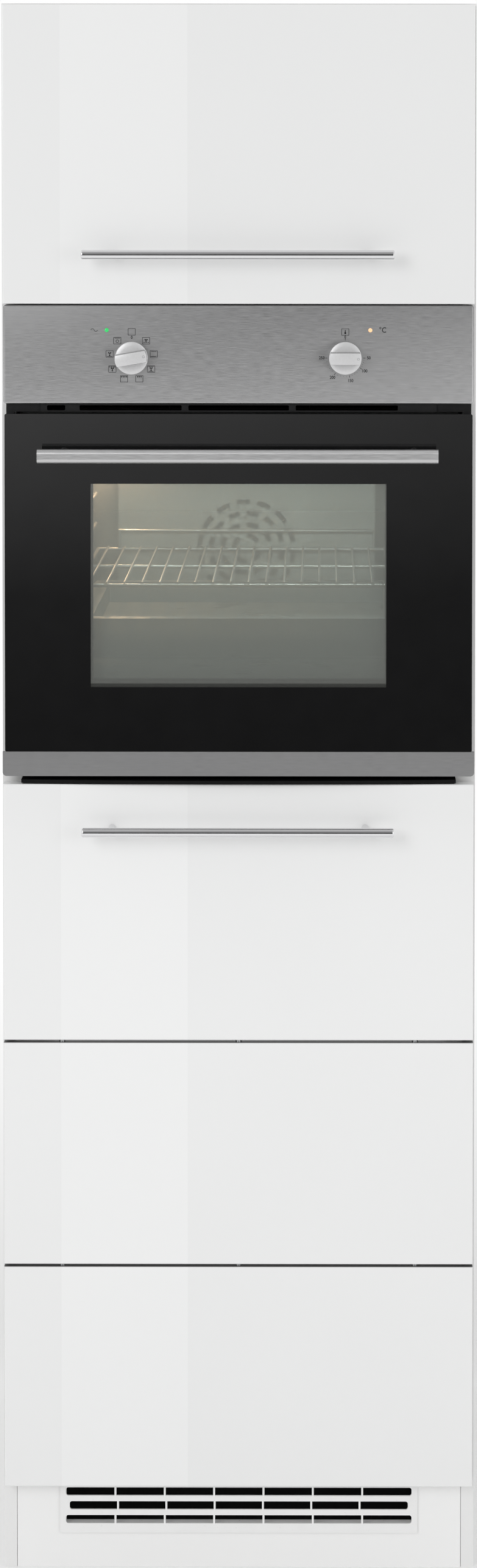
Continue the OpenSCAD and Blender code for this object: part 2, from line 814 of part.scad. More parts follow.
module hinge_arm(seat) {
    plate_y = [pivot_to_carcass + arm_plate_y[0], pivot_to_carcass + arm_plate_y[1]];
    screw_y = pivot_to_carcass + arm_screw_y;
    color(zinc) difference() {
        union() {
            translate([0, 0, -arm_w / 2]) cylinder(d = 2 * hinge_pin_d, h = arm_w);
            block([-arm_leg_in - arm_t / 2, 0], [-arm_t / 2, arm_t / 2], [-arm_w / 2, arm_w / 2]);
            block([-arm_leg_in - arm_t / 2, -arm_leg_in + arm_t / 2], [-arm_t / 2, plate_y[1]],
                  [-arm_w / 2, arm_w / 2]);
            block([-arm_leg_in - arm_t / 2, -seat], plate_y, [-arm_w, arm_w]);
            block([-seat - arm_t, -seat], plate_y, [-arm_plate_w / 2, arm_plate_w / 2]);
        }
        translate([0, 0, -arm_w]) cylinder(d = hinge_pin_d + 2 * run_fit, h = 2 * arm_w);
        for (z = [-arm_screw_z, arm_screw_z])
            rod_x([-seat - arm_t - eps, -seat + eps], screw_y, z, arm_screw_d + 2 * run_fit);
    }
    for (z = [-arm_screw_z, arm_screw_z]) color(zinc) {
        rod_x([-seat - arm_t - head_gap, -seat + arm_screw_l], screw_y, z, arm_screw_d);
        rod_x([-seat - arm_t - arm_head_t, -seat - arm_t - head_gap], screw_y, z, arm_head_d);
    }
}

module hinge_cup() {
    floor_y = pivot_back - cup_depth;
    color(zinc) difference() {
        union() {
            rod_y(-cup_in, [floor_y, pivot_back], 0, cup_d);
            rod_y(-cup_in, [pivot_back, pivot_back + cup_flange_t], 0, cup_flange_d);
            block([-cup_in - cup_wing_w / 2, -cup_in + cup_wing_w / 2],
                  [pivot_back, pivot_back + cup_flange_t],
                  [-cup_wing - cup_wing_end, cup_wing + cup_wing_end]);
        }
        rod_y(-cup_in, [floor_y + cup_wall - cup_floor_play, pivot_back + cup_flange_t + eps], 0,
              cup_d - 2 * cup_wall);
        translate([0, 0, -cup_d / 2]) cylinder(d = hinge_pin_d + 2 * push_fit, h = cup_d);
        for (z = [-cup_wing, cup_wing])
            rod_y(-cup_in, [pivot_back - eps, pivot_back + cup_flange_t + eps], z,
                  cup_screw_d + 2 * run_fit);
    }
    color(chrome) translate([0, 0, -hinge_pin_l / 2]) cylinder(d = hinge_pin_d, h = hinge_pin_l);
    for (z = [-cup_wing, cup_wing]) color(zinc) {
        top = pivot_back + cup_flange_t + head_gap;
        rod_y(-cup_in, [top - cup_screw_l, top], z, cup_screw_d);
        rod_y(-cup_in, [top, top + cup_head_t], z, cup_head_d);
    }
}

// What a cup takes out of a door
module cup_pocket() {
    rod_y(-cup_in, [pivot_back - cup_depth - cup_floor_play, pivot_back + eps], 0,
          cup_d + 2 * cup_pocket_play);
    for (z = [-cup_wing, cup_wing])
        rod_y(-cup_in, [pivot_back + cup_flange_t - cup_screw_l - dowel_end_gap, pivot_back + eps], z,
              cup_screw_d + 2 * push_fit);
}

module at_lower_hinges() for (z = lower_hinge_z) translate([x_door_pivot, y_pivot, z]) children();

module at_flap_hinges()
    for (x = [-flap_hinge_x, flap_hinge_x])
        translate([x, y_pivot, z_flap_pivot]) rotate([0, -90, 0]) children();

module lower_hinge_arms() at_lower_hinges() hinge_arm(lower_seat);
module flap_hinge_arms() at_flap_hinges() hinge_arm(flap_seat);
module lower_hinge_cups() at_lower_hinges() hinge_cup();
module flap_hinge_cups() at_flap_hinges() hinge_cup();

// ---------------------------------------------------------------- doors

// Holes for the screws of a bar handle
module handle_holes(z)
    for (x = [-bar_post_spacing / 2, bar_post_spacing / 2])
        rod_y(x, [y_front - eps, y_door_back + eps], z, handle_screw_d + 2 * loose_fit);

// Holes for the pins that join two fronts across the seam above z
module connector_holes(z)
    for (x = connector_x)
        rod_z(x, y_front + front_t / 2,
              [z + (seam - connector_l) / 2 - dowel_end_gap,
               z + (seam + connector_l) / 2 + dowel_end_gap],
              connector_d + 2 * push_fit);

module flap_panel() {
    color(white) difference() {
        front_board([-x_front, x_front], [z_flap_low, z_flap_high]);
        at_flap_hinges() cup_pocket();
        handle_holes(z_flap_handle);
    }
}

module lower_front_top() {
    color(white) difference() {
        front_board([-x_front, x_front], [z_seam_2 + seam, z_door_high]);
        at_lower_hinges() cup_pocket();
        connector_holes(z_seam_2);
        handle_holes(z_lower_handle);
    }
}

module lower_front_middle() {
    color(white) difference() {
        front_board([-x_front, x_front], [z_seam_1 + seam, z_seam_2]);
        at_lower_hinges() cup_pocket();
        connector_holes(z_seam_1);
        connector_holes(z_seam_2);
    }
}

module lower_front_bottom() {
    color(white) difference() {
        front_board([-x_front, x_front], [z_door_low, z_seam_1]);
        at_lower_hinges() cup_pocket();
        connector_holes(z_seam_1);
    }
}

module front_connectors() {
    color(zinc) for (z = [z_seam_1, z_seam_2], x = connector_x)
        rod_z(x, y_front + front_t / 2, [z + (seam - connector_l) / 2, z + (seam + connector_l) / 2],
              connector_d);
}

// Round bar on two posts, and the two screws that hold it from behind the door
module bar_handle(z) {
    y_bar = y_front - bar_reach + bar_d / 2;
    color(chrome) difference() {
        union() {
            translate([-bar_l / 2, y_bar, z]) rotate([0, 90, 0]) rotate_extrude() {
                translate([0, bar_end_r]) square([bar_d / 2, bar_l - 2 * bar_end_r]);
                square([bar_d / 2 - bar_end_r, bar_l]);
                for (h = [bar_end_r, bar_l - bar_end_r])
                    translate([bar_d / 2 - bar_end_r, h]) circle(r = bar_end_r);
            }
            for (x = [-bar_post_spacing / 2, bar_post_spacing / 2])
                rod_y(x, [y_bar, y_front], z, bar_post_d);
        }
        for (x = [-bar_post_spacing / 2, bar_post_spacing / 2])
            rod_y(x, [y_front - handle_screw_in - dowel_end_gap, y_front + eps], z,
                  handle_screw_d + 2 * push_fit);
    }
    color(zinc) for (x = [-bar_post_spacing / 2, bar_post_spacing / 2]) {
        rod_y(x, [y_front - handle_screw_in, y_door_back + head_gap], z, handle_screw_d);
        rod_y(x, [y_door_back + head_gap, y_door_back + handle_head_t], z, handle_head_d);
    }
}

module upper_handle() bar_handle(z_flap_handle);
module lower_handle() bar_handle(z_lower_handle);

// ---------------------------------------------------------------- oven body

// Casing: a box that is open at the front, closed below the baking compartment
module oven_casing() {
    color(galvanised) difference() {
        union() {
            difference() {
                block([-x_body, x_body], [y_casing, y_casing_back], [z_oven, z_casing_top]);
                block([-x_body + sheet_t, x_body - sheet_t],
                      [y_casing - eps, y_casing_back - sheet_t],
                      [z_oven + sheet_t, z_casing_top - sheet_t]);
            }
            block([-x_body, x_body], [y_casing, y_casing + sheet_t], [z_oven, z_lower_front]);
        }
        both_sides() {
            block([receiver_x - receiver_slot / 2 - 1, receiver_x + receiver_slot / 2 + 1],
                  [y_casing - eps, y_casing + sheet_t + eps],
                  [z_door_pivot - receiver_h, z_door_pivot + receiver_h]);
            for (i = [0 : air_slots - 1]) {
                z = z_oven + air_slot_up + air_slot_pitch * i;
                plate_xz(air_slot_x, [y_casing_back - sheet_t - eps, y_casing_back + eps],
                         [z, z + air_slot_h], air_slot_h / 2 - 0.1);
            }
        }
    }
}

// Enamelled liner of the baking compartment; its back wall lets the fan shaft, the heater
// ends, the lamp and the temperature bulb through
module cavity_liner() {
    x = cavity_w / 2;
    color(enamel) difference() {
        block([-x - liner_t, x + liner_t], [y_cavity, y_liner_out],
              [z_cavity - liner_t, z_cavity_top + liner_t]);
        block([-x, x], [y_cavity - eps, y_liner_back], [z_cavity, z_cavity_top]);
        back_wall_holes(liner_shaft_hole, y_liner_back - eps, y_liner_out + eps);
    }
}

// Holes through the back wall and the insulation behind it
module back_wall_holes(shaft_hole, y0, y1) {
    rod_y(0, [y0, y1], z_fan, shaft_hole);
    for (x = [-terminal_x / 2, terminal_x / 2]) {
        rod_y(x, [y0, y1], z_fan + ring_r, heater_hole_d);
        rod_y(x, [y0, y1], z_grill, heater_hole_d);
    }
    rod_y(-oven_lamp_x, [y0, y1], z_oven_lamp, lamp_hole_d);
    rod_y(knob_x, [y0, y1], z_bulb, bulb_d + 2 * loose_fit);
}

// Insulation around the liner
module cavity_insulation() {
    x = cavity_w / 2 + liner_t;
    z = [z_cavity - liner_t, z_cavity_top + liner_t];
    color(wool) difference() {
        block([-x - insulation_t, x + insulation_t], [y_casing + sheet_t, y_insulation_back],
              [z[0] - base_space - insulation_t, z[1] + insulation_t]);
        block([-x, x], [y_casing, y_liner_out], [z[0] - base_space, z[1]]);
        back_wall_holes(wool_shaft_hole, y_liner_out - eps, y_insulation_back + eps);
        for (a = [90, 210, 330])
            rod_y(motor_post_r * cos(a), [y_liner_out - eps, y_insulation_back + eps],
                  z_fan + motor_post_r * sin(a), post_d + 2 * loose_fit);
        for (s = [-terminal_x, terminal_x])
            rod_y(s, [y_liner_out - eps, y_insulation_back + eps], z_base, heater_hole_d);
        block([-terminal_x - heater_d, terminal_x + heater_d], [y_liner_out - eps, y_liner_out],
              [z_base - heater_d, z_base + heater_d]);
    }
}

// Pressed frame around the mouth of the baking compartment
module cavity_front_frame() {
    color(enamel) difference() {
        union() {
            plate_xz([-x_body - rim_lap, x_body + rim_lap], [y_rim, y_cavity], [z_rim_low, z_rim_high],
                     rim_r);
            difference() {
                block([-x_body, x_body], [y_cavity, y_casing], [z_rim_low, z_rim_high]);
                block([-x_body + rim_t, x_body - rim_t], [y_rim, y_casing + eps],
                      [z_rim_low + rim_t, z_rim_high - rim_t]);
            }
        }
        plate_xz([-cavity_w / 2, cavity_w / 2], [y_rim - eps, y_cavity + eps],
                 [z_cavity, z_cavity_top], mouth_r);
        both_sides() for (z = fixing_z)
            rod_x([x_body - rim_t - eps, x_body + eps], y_fixing, z, fixing_d + 2 * loose_fit);
    }
}

// Soft seal that the inner glass closes against
module door_seal() {
    y = [y_inner_back + seat_gap, y_rim];
    color([0.2, 0.2, 0.2]) difference() {
        plate_xz([-cavity_w / 2 - seal_out, cavity_w / 2 + seal_out], y,
                 [z_cavity - seal_out, z_cavity_top + seal_out], seal_out);
        plate_xz([-cavity_w / 2 - seal_in, cavity_w / 2 + seal_in], [y[0] - eps, y[1] + eps],
                 [z_cavity - seal_in, z_cavity_top + seal_in], 2 * seal_in);
    }
}

// Screws that fasten the oven's frame to the side panels
module oven_fixing_screws() {
    color(zinc) both_sides() for (z = fixing_z) {
        rod_x([x_body - rim_t, x_niche + fixing_in_side], y_fixing, z, fixing_d);
        rod_x([x_body - rim_t - fixing_head_t, x_body - rim_t], y_fixing, z, fixing_head_d);
    }
}

// Sheet-metal trim in the air gap above the door, with outlet slots
module vent_trim() {
    y = y_front + vent_in;
    x = x_vent;
    z = [z_rim_high, z_panel - 0.5];
    z_inside = [z[0] + sheet_t, z[1] - sheet_t];
    color(black) difference() {
        union() {
            block([-x_vent_mid, x_vent_mid], [y, y + vent_d], z);
            block([-x, x], [y + vent_step, y + vent_d], z);
            block([-x_vent_end, x_vent_end], [y + vent_step, y_tray], z);
            both_sides() block([x_niche, x_vent_end], [y + vent_step, y_tray],
                               [z_glass_top - vent_lap, z[1]]);
        }
        block([-x_vent_mid + sheet_t, x_vent_mid - sheet_t], [y + sheet_t, y + vent_d + eps], z_inside);
        block([-x + sheet_t, x - sheet_t], [y + vent_step + sheet_t, y + vent_d + eps], z_inside);
        for (s = vent_slots)
            plate_xz(s, [y - eps, y + 2 * sheet_t], [z[0] + vent_slot_edge, z[1] - vent_slot_edge],
                     vent_slot_r);
    }
}

// ---------------------------------------------------------------- control panel

module control_fascia() {
    color(steel) difference() {
        plate_xz([-x_fascia, x_fascia], [y_front, y_tray], [z_panel, z_panel_top], fascia_r);
        plate_xz([-x_fascia + fascia_t, x_fascia - fascia_t], [y_front + fascia_t, y_tray + eps],
                 [z_panel + fascia_t, z_panel_top - fascia_t], fascia_r - fascia_t);
        for (x = [-knob_x, knob_x])
            rod_y(x, [y_front - eps, y_front + fascia_t + eps], z_knob, neck_d + 2 * neck_play);
        for (x = [-lamp_x, lamp_x])
            rod_y(x, [y_front - eps, y_front + fascia_t + eps], z_lamp, lamp_d + 2 * lamp_play);
    }
}

// Sheet-metal tray behind the control panel, which carries the switches
module control_tray() {
    x = x_niche - tray_play;
    z = [z_panel, z_panel_top - tray_play];
    color(galvanised) {
        difference() {
            block([-x, x], [y_tray, y_tray + tray_t], z);
            for (kx = [-knob_x, knob_x])
                rod_y(kx, [y_tray - eps, y_tray + tray_t + eps], z_knob, neck_d + 2 * neck_play);
        }
        block([-x_body, x_body], [y_tray, y_tray_back], [z[0], z[0] + tray_t]);
        both_sides() block([x_body - tray_t, x_body], [y_tray, y_casing],
                           [z[0], z_casing_top - tray_play]);
    }
}

// Switch body with the hollow neck that holds its spindle
module switch_body(x) {
    y = y_tray + tray_t;
    difference() {
        union() {
            plate_xz([x - switch_w / 2, x + switch_w / 2], [y, y + switch_d],
                     [z_knob - switch_w / 2, z_knob + switch_w / 2], switch_r);
            rod_y(x, [y_front + fascia_t + neck_back, y], z_knob, neck_d);
        }
        rod_y(x, [y_front, y + switch_d - switch_floor], z_knob, spindle_d + 2 * run_fit);
    }
}

module selector_switch() color([0.85, 0.85, 0.82]) switch_body(-knob_x);

// Thermostat, its capillary tube and the bulb in the baking compartment
module thermostat() {
    y_drop = y_insulation_back + capillary_back;
    color([0.75, 0.6, 0.35]) switch_body(knob_x);
    color([0.72, 0.45, 0.3]) {
        tube_path([[knob_x, y_tray + tray_t + switch_d, z_knob], [knob_x, y_drop, z_knob],
                   [knob_x, y_drop, z_bulb], [knob_x, y_liner_back - bulb_front, z_bulb]], capillary_d);
        rod_y(knob_x, [y_liner_back - bulb_front - bulb_l, y_liner_back - bulb_front], z_bulb, bulb_d);
    }
}

module signal_lights() {
    for (s = [-1, 1]) color(s < 0 ? [0.1, 0.45, 0.2] : [0.75, 0.35, 0.05]) {
        rod_y(s * lamp_x, [y_front - lamp_proud, y_front + fascia_t], z_lamp, lamp_d);
        rod_y(s * lamp_x, [y_front + fascia_t, y_tray], z_lamp, lamp_collar_d);
    }
}

// Knob with a round skirt and a bar grip, turned clockwise from the top by pointer
module knob(x, pointer) {
    skirt = [y_front - knob_gap - skirt_h, y_front - knob_gap];
    y_grip = y_front - knob_h;
    difference() {
        union() {
            translate([x, skirt[1], z_knob]) rotate([90, 0, 0])
                cylinder(d1 = knob_d, d2 = knob_d - skirt_taper, h = skirt_h);
            intersection() {
                rod_y(x, [y_grip, skirt[0] + 1], z_knob, knob_d - 2 * grip_inset);
                translate([x, 0, z_knob]) rotate([0, pointer, 0])
                    plate_xz([-grip_w / 2, grip_w / 2], [y_grip, skirt[0] + 1],
                             [-knob_d / 2, knob_d / 2], grip_r);
            }
        }
        rod_y(x, [spindle_front, skirt[1] + eps], z_knob, spindle_d + 2 * push_fit);
    }
}

module spindle(x)
    color(zinc) rod_y(x, [spindle_front + 0.2, y_tray + tray_t + switch_d - 8], z_knob, spindle_d);

module function_knob() color(steel) knob(-knob_x, function_pointer);
module temperature_knob() color(steel) knob(knob_x, temperature_pointer);
module function_spindle() spindle(-knob_x);
module temperature_spindle() spindle(knob_x);

// ---------------------------------------------------------------- inside the oven

// Wire racks on both sides, standing off the walls on four studs each
module side_racks() {
    color(chrome) both_sides() {
        for (y = rack_y) {
            rod_z(rack_x, y, rack_z, rack_wire_d);
            for (z = [rack_z[0] + rack_wire_d, rack_z[1] - rack_wire_d])
                rod_x([rack_x, cavity_w / 2], y, z, rack_wire_d);
        }
        for (level = [0 : rack_levels - 1])
            rod_y(rail_x, rail_span, z_low_rail + level * rack_pitch, rack_wire_d);
    }
}

// Wire shelf: a frame, a middle bar, thin wires front to back and a raised rail at the back
module wire_shelf() {
    z = z_shelf_frame;
    z_wire = z + (shelf_frame_d + shelf_wire_d) / 2 - shelf_weld;
    frame = [[-shelf_x, shelf_y[0], z], [shelf_x, shelf_y[0], z],
             [shelf_x, shelf_y[1], z], [-shelf_x, shelf_y[1], z]];
    color(chrome) {
        for (y = [shelf_y[0], shelf_mid, shelf_y[1]])
            rod_x([-shelf_x, shelf_x], y, z, shelf_frame_d);
        for (x = [-shelf_x, shelf_x]) rod_y(x, shelf_y, z, shelf_frame_d);
        for (corner = frame) translate(corner) sphere(d = shelf_frame_d);
        for (i = [0 : shelf_wires - 1])
            rod_y((i - (shelf_wires - 1) / 2) * shelf_pitch,
                  [shelf_y[0] - shelf_frame_d / 2 + shelf_wire_end, shelf_y[1]], z_wire, shelf_wire_d);
        tube_path([[-gallery_x, shelf_y[1], z], [-gallery_x, shelf_y[1], z + gallery_h],
                   [gallery_x, shelf_y[1], z + gallery_h], [gallery_x, shelf_y[1], z]],
                  gallery_d);
    }
}

// Enamelled tray with a flat rim that rides on the rack's rails
module baking_tray() {
    basin = tray_x - tray_rim;
    color(enamel) {
        difference() {
            block([-tray_x, tray_x], tray_y, [z_tray, z_tray + tray_sheet]);
            block([-basin, basin], [tray_y[0] + tray_rim, tray_y[1] - tray_rim],
                  [z_tray - eps, z_tray + tray_sheet + eps]);
        }
        difference() {
            block([-basin - tray_sheet, basin + tray_sheet],
                  [tray_y[0] + tray_rim - tray_sheet, tray_y[1] - tray_rim + tray_sheet],
                  [z_tray - tray_depth, z_tray + tray_sheet / 2]);
            block([-basin, basin], [tray_y[0] + tray_rim, tray_y[1] - tray_rim],
                  [z_tray - tray_depth + tray_sheet, z_tray + tray_sheet + eps]);
        }
    }
}

module oven_lamp() {
    color([0.95, 0.92, 0.8]) rod_y(-oven_lamp_x, lamp_glass_y, z_oven_lamp, lamp_glass_d);
    color([0.9, 0.9, 0.88]) difference() {
        union() {
            rod_y(-oven_lamp_x, [y_liner_back - lamp_flange_t, y_liner_back], z_oven_lamp,
                  lamp_flange_d);
            rod_y(-oven_lamp_x, [y_liner_back, y_insulation_back + lamp_socket_back], z_oven_lamp,
                  lamp_socket_d);
        }
        rod_y(-oven_lamp_x, [y_liner_back - lamp_flange_t - eps, lamp_glass_y[1] + head_gap],
              z_oven_lamp, lamp_glass_d + 4 * run_fit);
    }
}

// Cover in front of the convection fan, with rings of short curved slots
module fan_cover() {
    y = [y_fan_cover, y_liner_back];
    z = [z_cover, z_cover + cover_h];
    color(enamel) difference() {
        plate_xz([-x_cover, x_cover], y, z, cover_r);
        plate_xz([-x_cover + cover_t, x_cover - cover_t], [y[0] + cover_t, y[1] + eps],
                 [z[0] + cover_t, z[1] - cover_t], cover_r - cover_t);
        translate([0, y[0] - eps, z_fan]) rotate([-90, 0, 0])
            for (ring = [0 : len(slot_radii) - 1], i = [0 : slot_count[ring] - 1]) {
                r = slot_radii[ring];
                gap = 360 * slot_bridge / (2 * PI * r);
                rotate([0, 0, 360 * i / slot_count[ring]])
                    rotate_extrude(angle = 360 / slot_count[ring] - gap)
                        translate([r - slot_w / 2, 0]) square([slot_w, cover_t + 2 * eps]);
            }
    }
}

module fan_motor() {
    y = y_insulation_back + motor_gap;
    color(zinc) difference() {
        union() {
            for (a = [90, 210, 330])
                rod_y(motor_post_r * cos(a), [y_liner_out, y], z_fan + motor_post_r * sin(a), post_d);
            rod_y(0, [y, y + motor_plate_t], z_fan, motor_plate_d);
            rod_y(0, [y + motor_plate_t, y + motor_l], z_fan, motor_d);
        }
        rod_y(0, [y - eps, y + motor_l - motor_floor], z_fan, post_d + 2 * run_fit);
    }
}

// Convection fan on its shaft
module fan_impeller() {
    color(galvanised) {
        rod_y(0, [y_fan + fan_depth - fan_disc_t, y_fan + fan_depth], z_fan, fan_d);
        rod_y(0, [y_fan + fan_front, y_fan + fan_depth], z_fan, fan_hub_d);
        rod_y(0, [y_fan, y_insulation_back + motor_gap + motor_l - motor_floor - shaft_end_gap], z_fan,
              post_d);
        for (i = [0 : fan_blades - 1])
            translate([0, 0, z_fan]) rotate([0, 360 / fan_blades * i, 0])
                block([fan_blade_in, fan_d / 2 - 2], [y_fan + fan_front, y_fan + fan_depth],
                      [-fan_blade_t / 2, fan_blade_t / 2]);
    }
}

module heating_elements() {
    y_ring = y_fan + fan_depth / 2 + ring_behind;
    y_end = y_insulation_back + heater_end;
    gy = grill_y;
    bend_y = gy[1] - grill_bend_in;
    color([0.25, 0.25, 0.26]) {
        translate([0, y_ring, z_fan]) rotate([-90, 0, 0]) rotate_extrude(angle = 360)
            translate([ring_r, 0]) circle(d = heater_d);
        for (x = [-terminal_x / 2, terminal_x / 2])
            rod_y(x, [y_ring, y_end], z_fan + ring_r, heater_d);
        tube_path([[-terminal_x / 2, y_end, z_grill], [-terminal_x / 2, gy[1], z_grill],
                   [-grill_x, gy[1], z_grill], [-grill_x, gy[0], z_grill],
                   [-grill_bend_x, gy[0], z_grill], [-grill_bend_x, bend_y, z_grill],
                   [grill_bend_x, bend_y, z_grill], [grill_bend_x, gy[0], z_grill],
                   [grill_x, gy[0], z_grill], [grill_x, gy[1], z_grill],
                   [terminal_x / 2, gy[1], z_grill], [terminal_x / 2, y_end, z_grill]], heater_d);
        for (x = [-grill_x, grill_x])
            block([x - grill_clip_w / 2, x + grill_clip_w / 2],
                  [grill_clip_y, grill_clip_y + grill_clip_t], [z_grill, z_cavity_top]);
        tube_path([[-terminal_x, y_end, z_base], [-terminal_x, gy[1], z_base],
                   [-grill_x, gy[1], z_base], [-grill_x, gy[0], z_base],
                   [grill_x, gy[0], z_base], [grill_x, gy[1], z_base],
                   [terminal_x, gy[1], z_base], [terminal_x, y_end, z_base]], heater_d);
    }
}

// Deck above the insulation with the cooling fan's scroll, its duct and its motor
module blower_housing() {
    x_flange = blower_flange_x;
    color(galvanised) {
        difference() {
            union() {
                block([-x_body + sheet_t + deck_play, x_body - sheet_t - deck_play],
                      [y_casing + deck_front, y_casing + deck_d], [z_deck, z_deck + sheet_t]);
                rod_x([-scroll_x, scroll_x], y_blower, z_blower, 2 * scroll_r);
                block([-scroll_x, scroll_x], [y_casing + deck_front, y_blower],
                      [z_deck, z_deck + duct_h]);
            }
            rod_x([-scroll_x + sheet_t, scroll_x - sheet_t], y_blower, z_blower,
                  2 * (scroll_r - sheet_t));
            block([-scroll_x + sheet_t, scroll_x - sheet_t], [y_casing - eps, y_blower],
                  [z_deck + sheet_t, z_deck + duct_h - sheet_t]);
            rod_x([scroll_x - sheet_t - eps, scroll_x + eps], y_blower, z_blower,
                  post_d + 2 * run_fit);
            rod_x([-scroll_x - eps, -scroll_x + sheet_t + eps], y_blower, z_blower,
                  blower_inlet_d);
        }
    }
    color(zinc) difference() {
        union() {
            rod_x([x_flange - blower_motor_l, x_flange], y_blower, z_blower, blower_motor_d);
            rod_x([x_flange, x_flange + blower_flange_t], y_blower, z_blower,
                  2 * motor_arm_r + post_d + 2);
            for (a = [60, 180, 300])
                rod_x([x_flange + 1, -scroll_x - head_gap],
                      y_blower + motor_arm_r * cos(a), z_blower + motor_arm_r * sin(a), post_d);
        }
        rod_x([x_flange - blower_motor_l + blower_bore_in, -scroll_x], y_blower, z_blower,
              post_d + 2 * run_fit);
    }
}

// Squirrel-cage wheel of the cooling fan
module blower_wheel() {
    color(black) {
        rod_x([-scroll_x - blower_motor_l + blower_shaft_in, scroll_x], y_blower, z_blower, post_d);
        rod_x([-blower_disc_t / 2, blower_disc_t / 2], y_blower, z_blower, blower_d);
        for (x = [-wheel_x, wheel_x - blower_disc_t]) difference() {
            rod_x([x, x + blower_disc_t], y_blower, z_blower, blower_d);
            rod_x([x - eps, x + blower_disc_t + eps], y_blower, z_blower, blower_inlet_d);
        }
        for (i = [0 : blower_blades - 1])
            translate([0, y_blower, z_blower]) rotate([360 * i / blower_blades, 0, 0])
                block([-wheel_x, wheel_x], [blower_d / 2 - 0.5 - blower_blade_h, blower_d / 2 - 0.5],
                      [-blower_blade_t / 2, blower_blade_t / 2]);
    }
}

// Connection box for the mains cable, on the back of the casing
module terminal_block() {
    x = -x_body + terminal_box_side;
    y = y_casing_back + terminal_box_d / 2;
    z = z_casing_top - terminal_box_down;
    color([0.25, 0.25, 0.26]) {
        plate_xz([x - terminal_box_w / 2, x + terminal_box_w / 2],
                 [y_casing_back, y_casing_back + terminal_box_d], [z, z + terminal_box_h],
                 terminal_r);
        difference() {
            rod_z(x, y, [z - cable_neck_l, z], cable_neck_d);
            rod_z(x, y, [z - cable_neck_l - eps, z - terminal_t], cable_d);
        }
    }
}

// Bowed metal lip that leads air past the oven shelf's front edge
module air_deflector() {
    web = [y_carcass - lip_play - lip_t, y_carcass - lip_play];
    half = lip_x;
    r_bow = (pow(half, 2) + pow(lip_bow, 2)) / (2 * lip_bow);
    y_ends = y_front + lip_setback;
    color(black) {
        difference() {
            intersection() {
                block([-half, half], [y_front - lip_bow, web[1]], lip_z);
                union() {
                    translate([0, y_ends + r_bow - lip_bow, lip_z[0]])
                        cylinder(r = r_bow, h = lip_z[1] - lip_z[0], $fn = 360);
                    block([-half, half], [y_ends, web[1]], lip_z);
                }
            }
            intersection() {
                block([-half + lip_t, half - lip_t], [y_front - lip_bow, web[1] + eps],
                      [lip_z[0] - eps, lip_z[1] - lip_t]);
                union() {
                    translate([0, y_ends + r_bow - lip_bow, lip_z[0] - eps])
                        cylinder(r = r_bow - lip_t, h = lip_z[1], $fn = 360);
                    block([-half, half], [y_ends + lip_t, web[1] + eps],
                          [lip_z[0] - eps, lip_z[1]]);
                }
            }
        }
        block([-half, half], web, [lip_z[0], z_oven + lip_t]);
        block([-half, half], [web[0], lip_foot_y], [z_oven, z_oven + lip_t]);
    }
}

// ---------------------------------------------------------------- oven door

// Arms on the oven's body that carry the hinge pins
module oven_hinge_receivers() {
    x = [receiver_x - receiver_t / 2, receiver_x + receiver_t / 2];
    color(zinc) both_sides() difference() {
        union() {
            rod_x(x, y_door_pivot, z_door_pivot, receiver_h);
            block(x, [y_door_pivot, receiver_y[1]],
                  [z_door_pivot - receiver_h / 2, z_door_pivot + receiver_h / 2]);
            block(x, receiver_y,
                  [z_oven + sheet_t, z_door_pivot + receiver_h / 2]);
        }
        rod_x([x[0] - eps, x[1] + eps], y_door_pivot, z_door_pivot, door_pin_d + 2 * run_fit);
    }
}

module oven_hinge_pins()
    color(chrome) both_sides()
        rod_x([receiver_x - pin_l / 2, receiver_x + pin_l / 2], y_door_pivot, z_door_pivot,
              door_pin_d);

module oven_door_glass() {
    color(black) difference() {
        plate_xz([-x_glass, x_glass], [y_front, y_glass_back], [z_glass, z_glass_top], 2);
        for (x = [-oven_post_x, oven_post_x])
            rod_y(x, [y_front - eps, y_glass_back + eps], z_oven_bar, oven_screw_d + 2 * loose_fit);
    }
}

module inner_door_glass()
    color([0.3, 0.35, 0.33, 0.5]) plate_xz([-x_inner_glass, x_inner_glass],
                                          [y_frame_back, y_inner_back],
                                          [z_inner_low, z_inner_high], 4);

// Metal frame between the two panes, slotted at the bottom for the hinge arms
module oven_door_frame() {
    column_in = receiver_x + 14 - column_w - 1;
    column_out = receiver_x + 13;
    color(enamel) difference() {
        union() {
            both_sides() block([column_in, column_out], [y_glass_back, y_frame_back],
                               [z_frame_low, z_frame_high]);
            block([-column_in, column_in], [y_glass_back, y_frame_back],
                  [z_frame_high - frame_beam_h, z_frame_high]);
            block([-column_in, column_in], [y_glass_back, y_frame_back],
                  [z_frame_low, z_frame_low + frame_beam_h]);
            both_sides() block(glass_ledge_x, [y_frame_back, y_inner_back],
                               [z_inner_low - seat_gap - glass_ledge_h, z_inner_low - seat_gap]);
            both_sides() block(glass_ledge_x, [y_frame_back - 2, y_frame_back],
                               [z_frame_low + frame_beam_h, z_inner_low - seat_gap]);
        }
        both_sides() {
            block([receiver_x - receiver_slot / 2, receiver_x + receiver_slot / 2],
                  [y_glass_back + frame_face_t, y_frame_back + eps],
                  [z_frame_low - eps, z_door_pivot + receiver_h / 2 + frame_slot_play]);
            rod_x([receiver_x - pin_l / 2 - 0.2, receiver_x + pin_l / 2 + 0.2], y_door_pivot,
                  z_door_pivot, door_pin_d + 2 * push_fit);
        }
    }
}

// Steel strip along the door's lower edge, with rounded lower corners
module oven_door_strip() {
    y = [y_front - strip_proud, y_glass_back];
    color(steel) {
        plate_xz([-x_strip, x_strip], y, [z_strip, z_glass - strip_r], strip_r);
        block([-x_strip, x_strip], y, [z_strip + strip_r, z_glass]);
    }
}

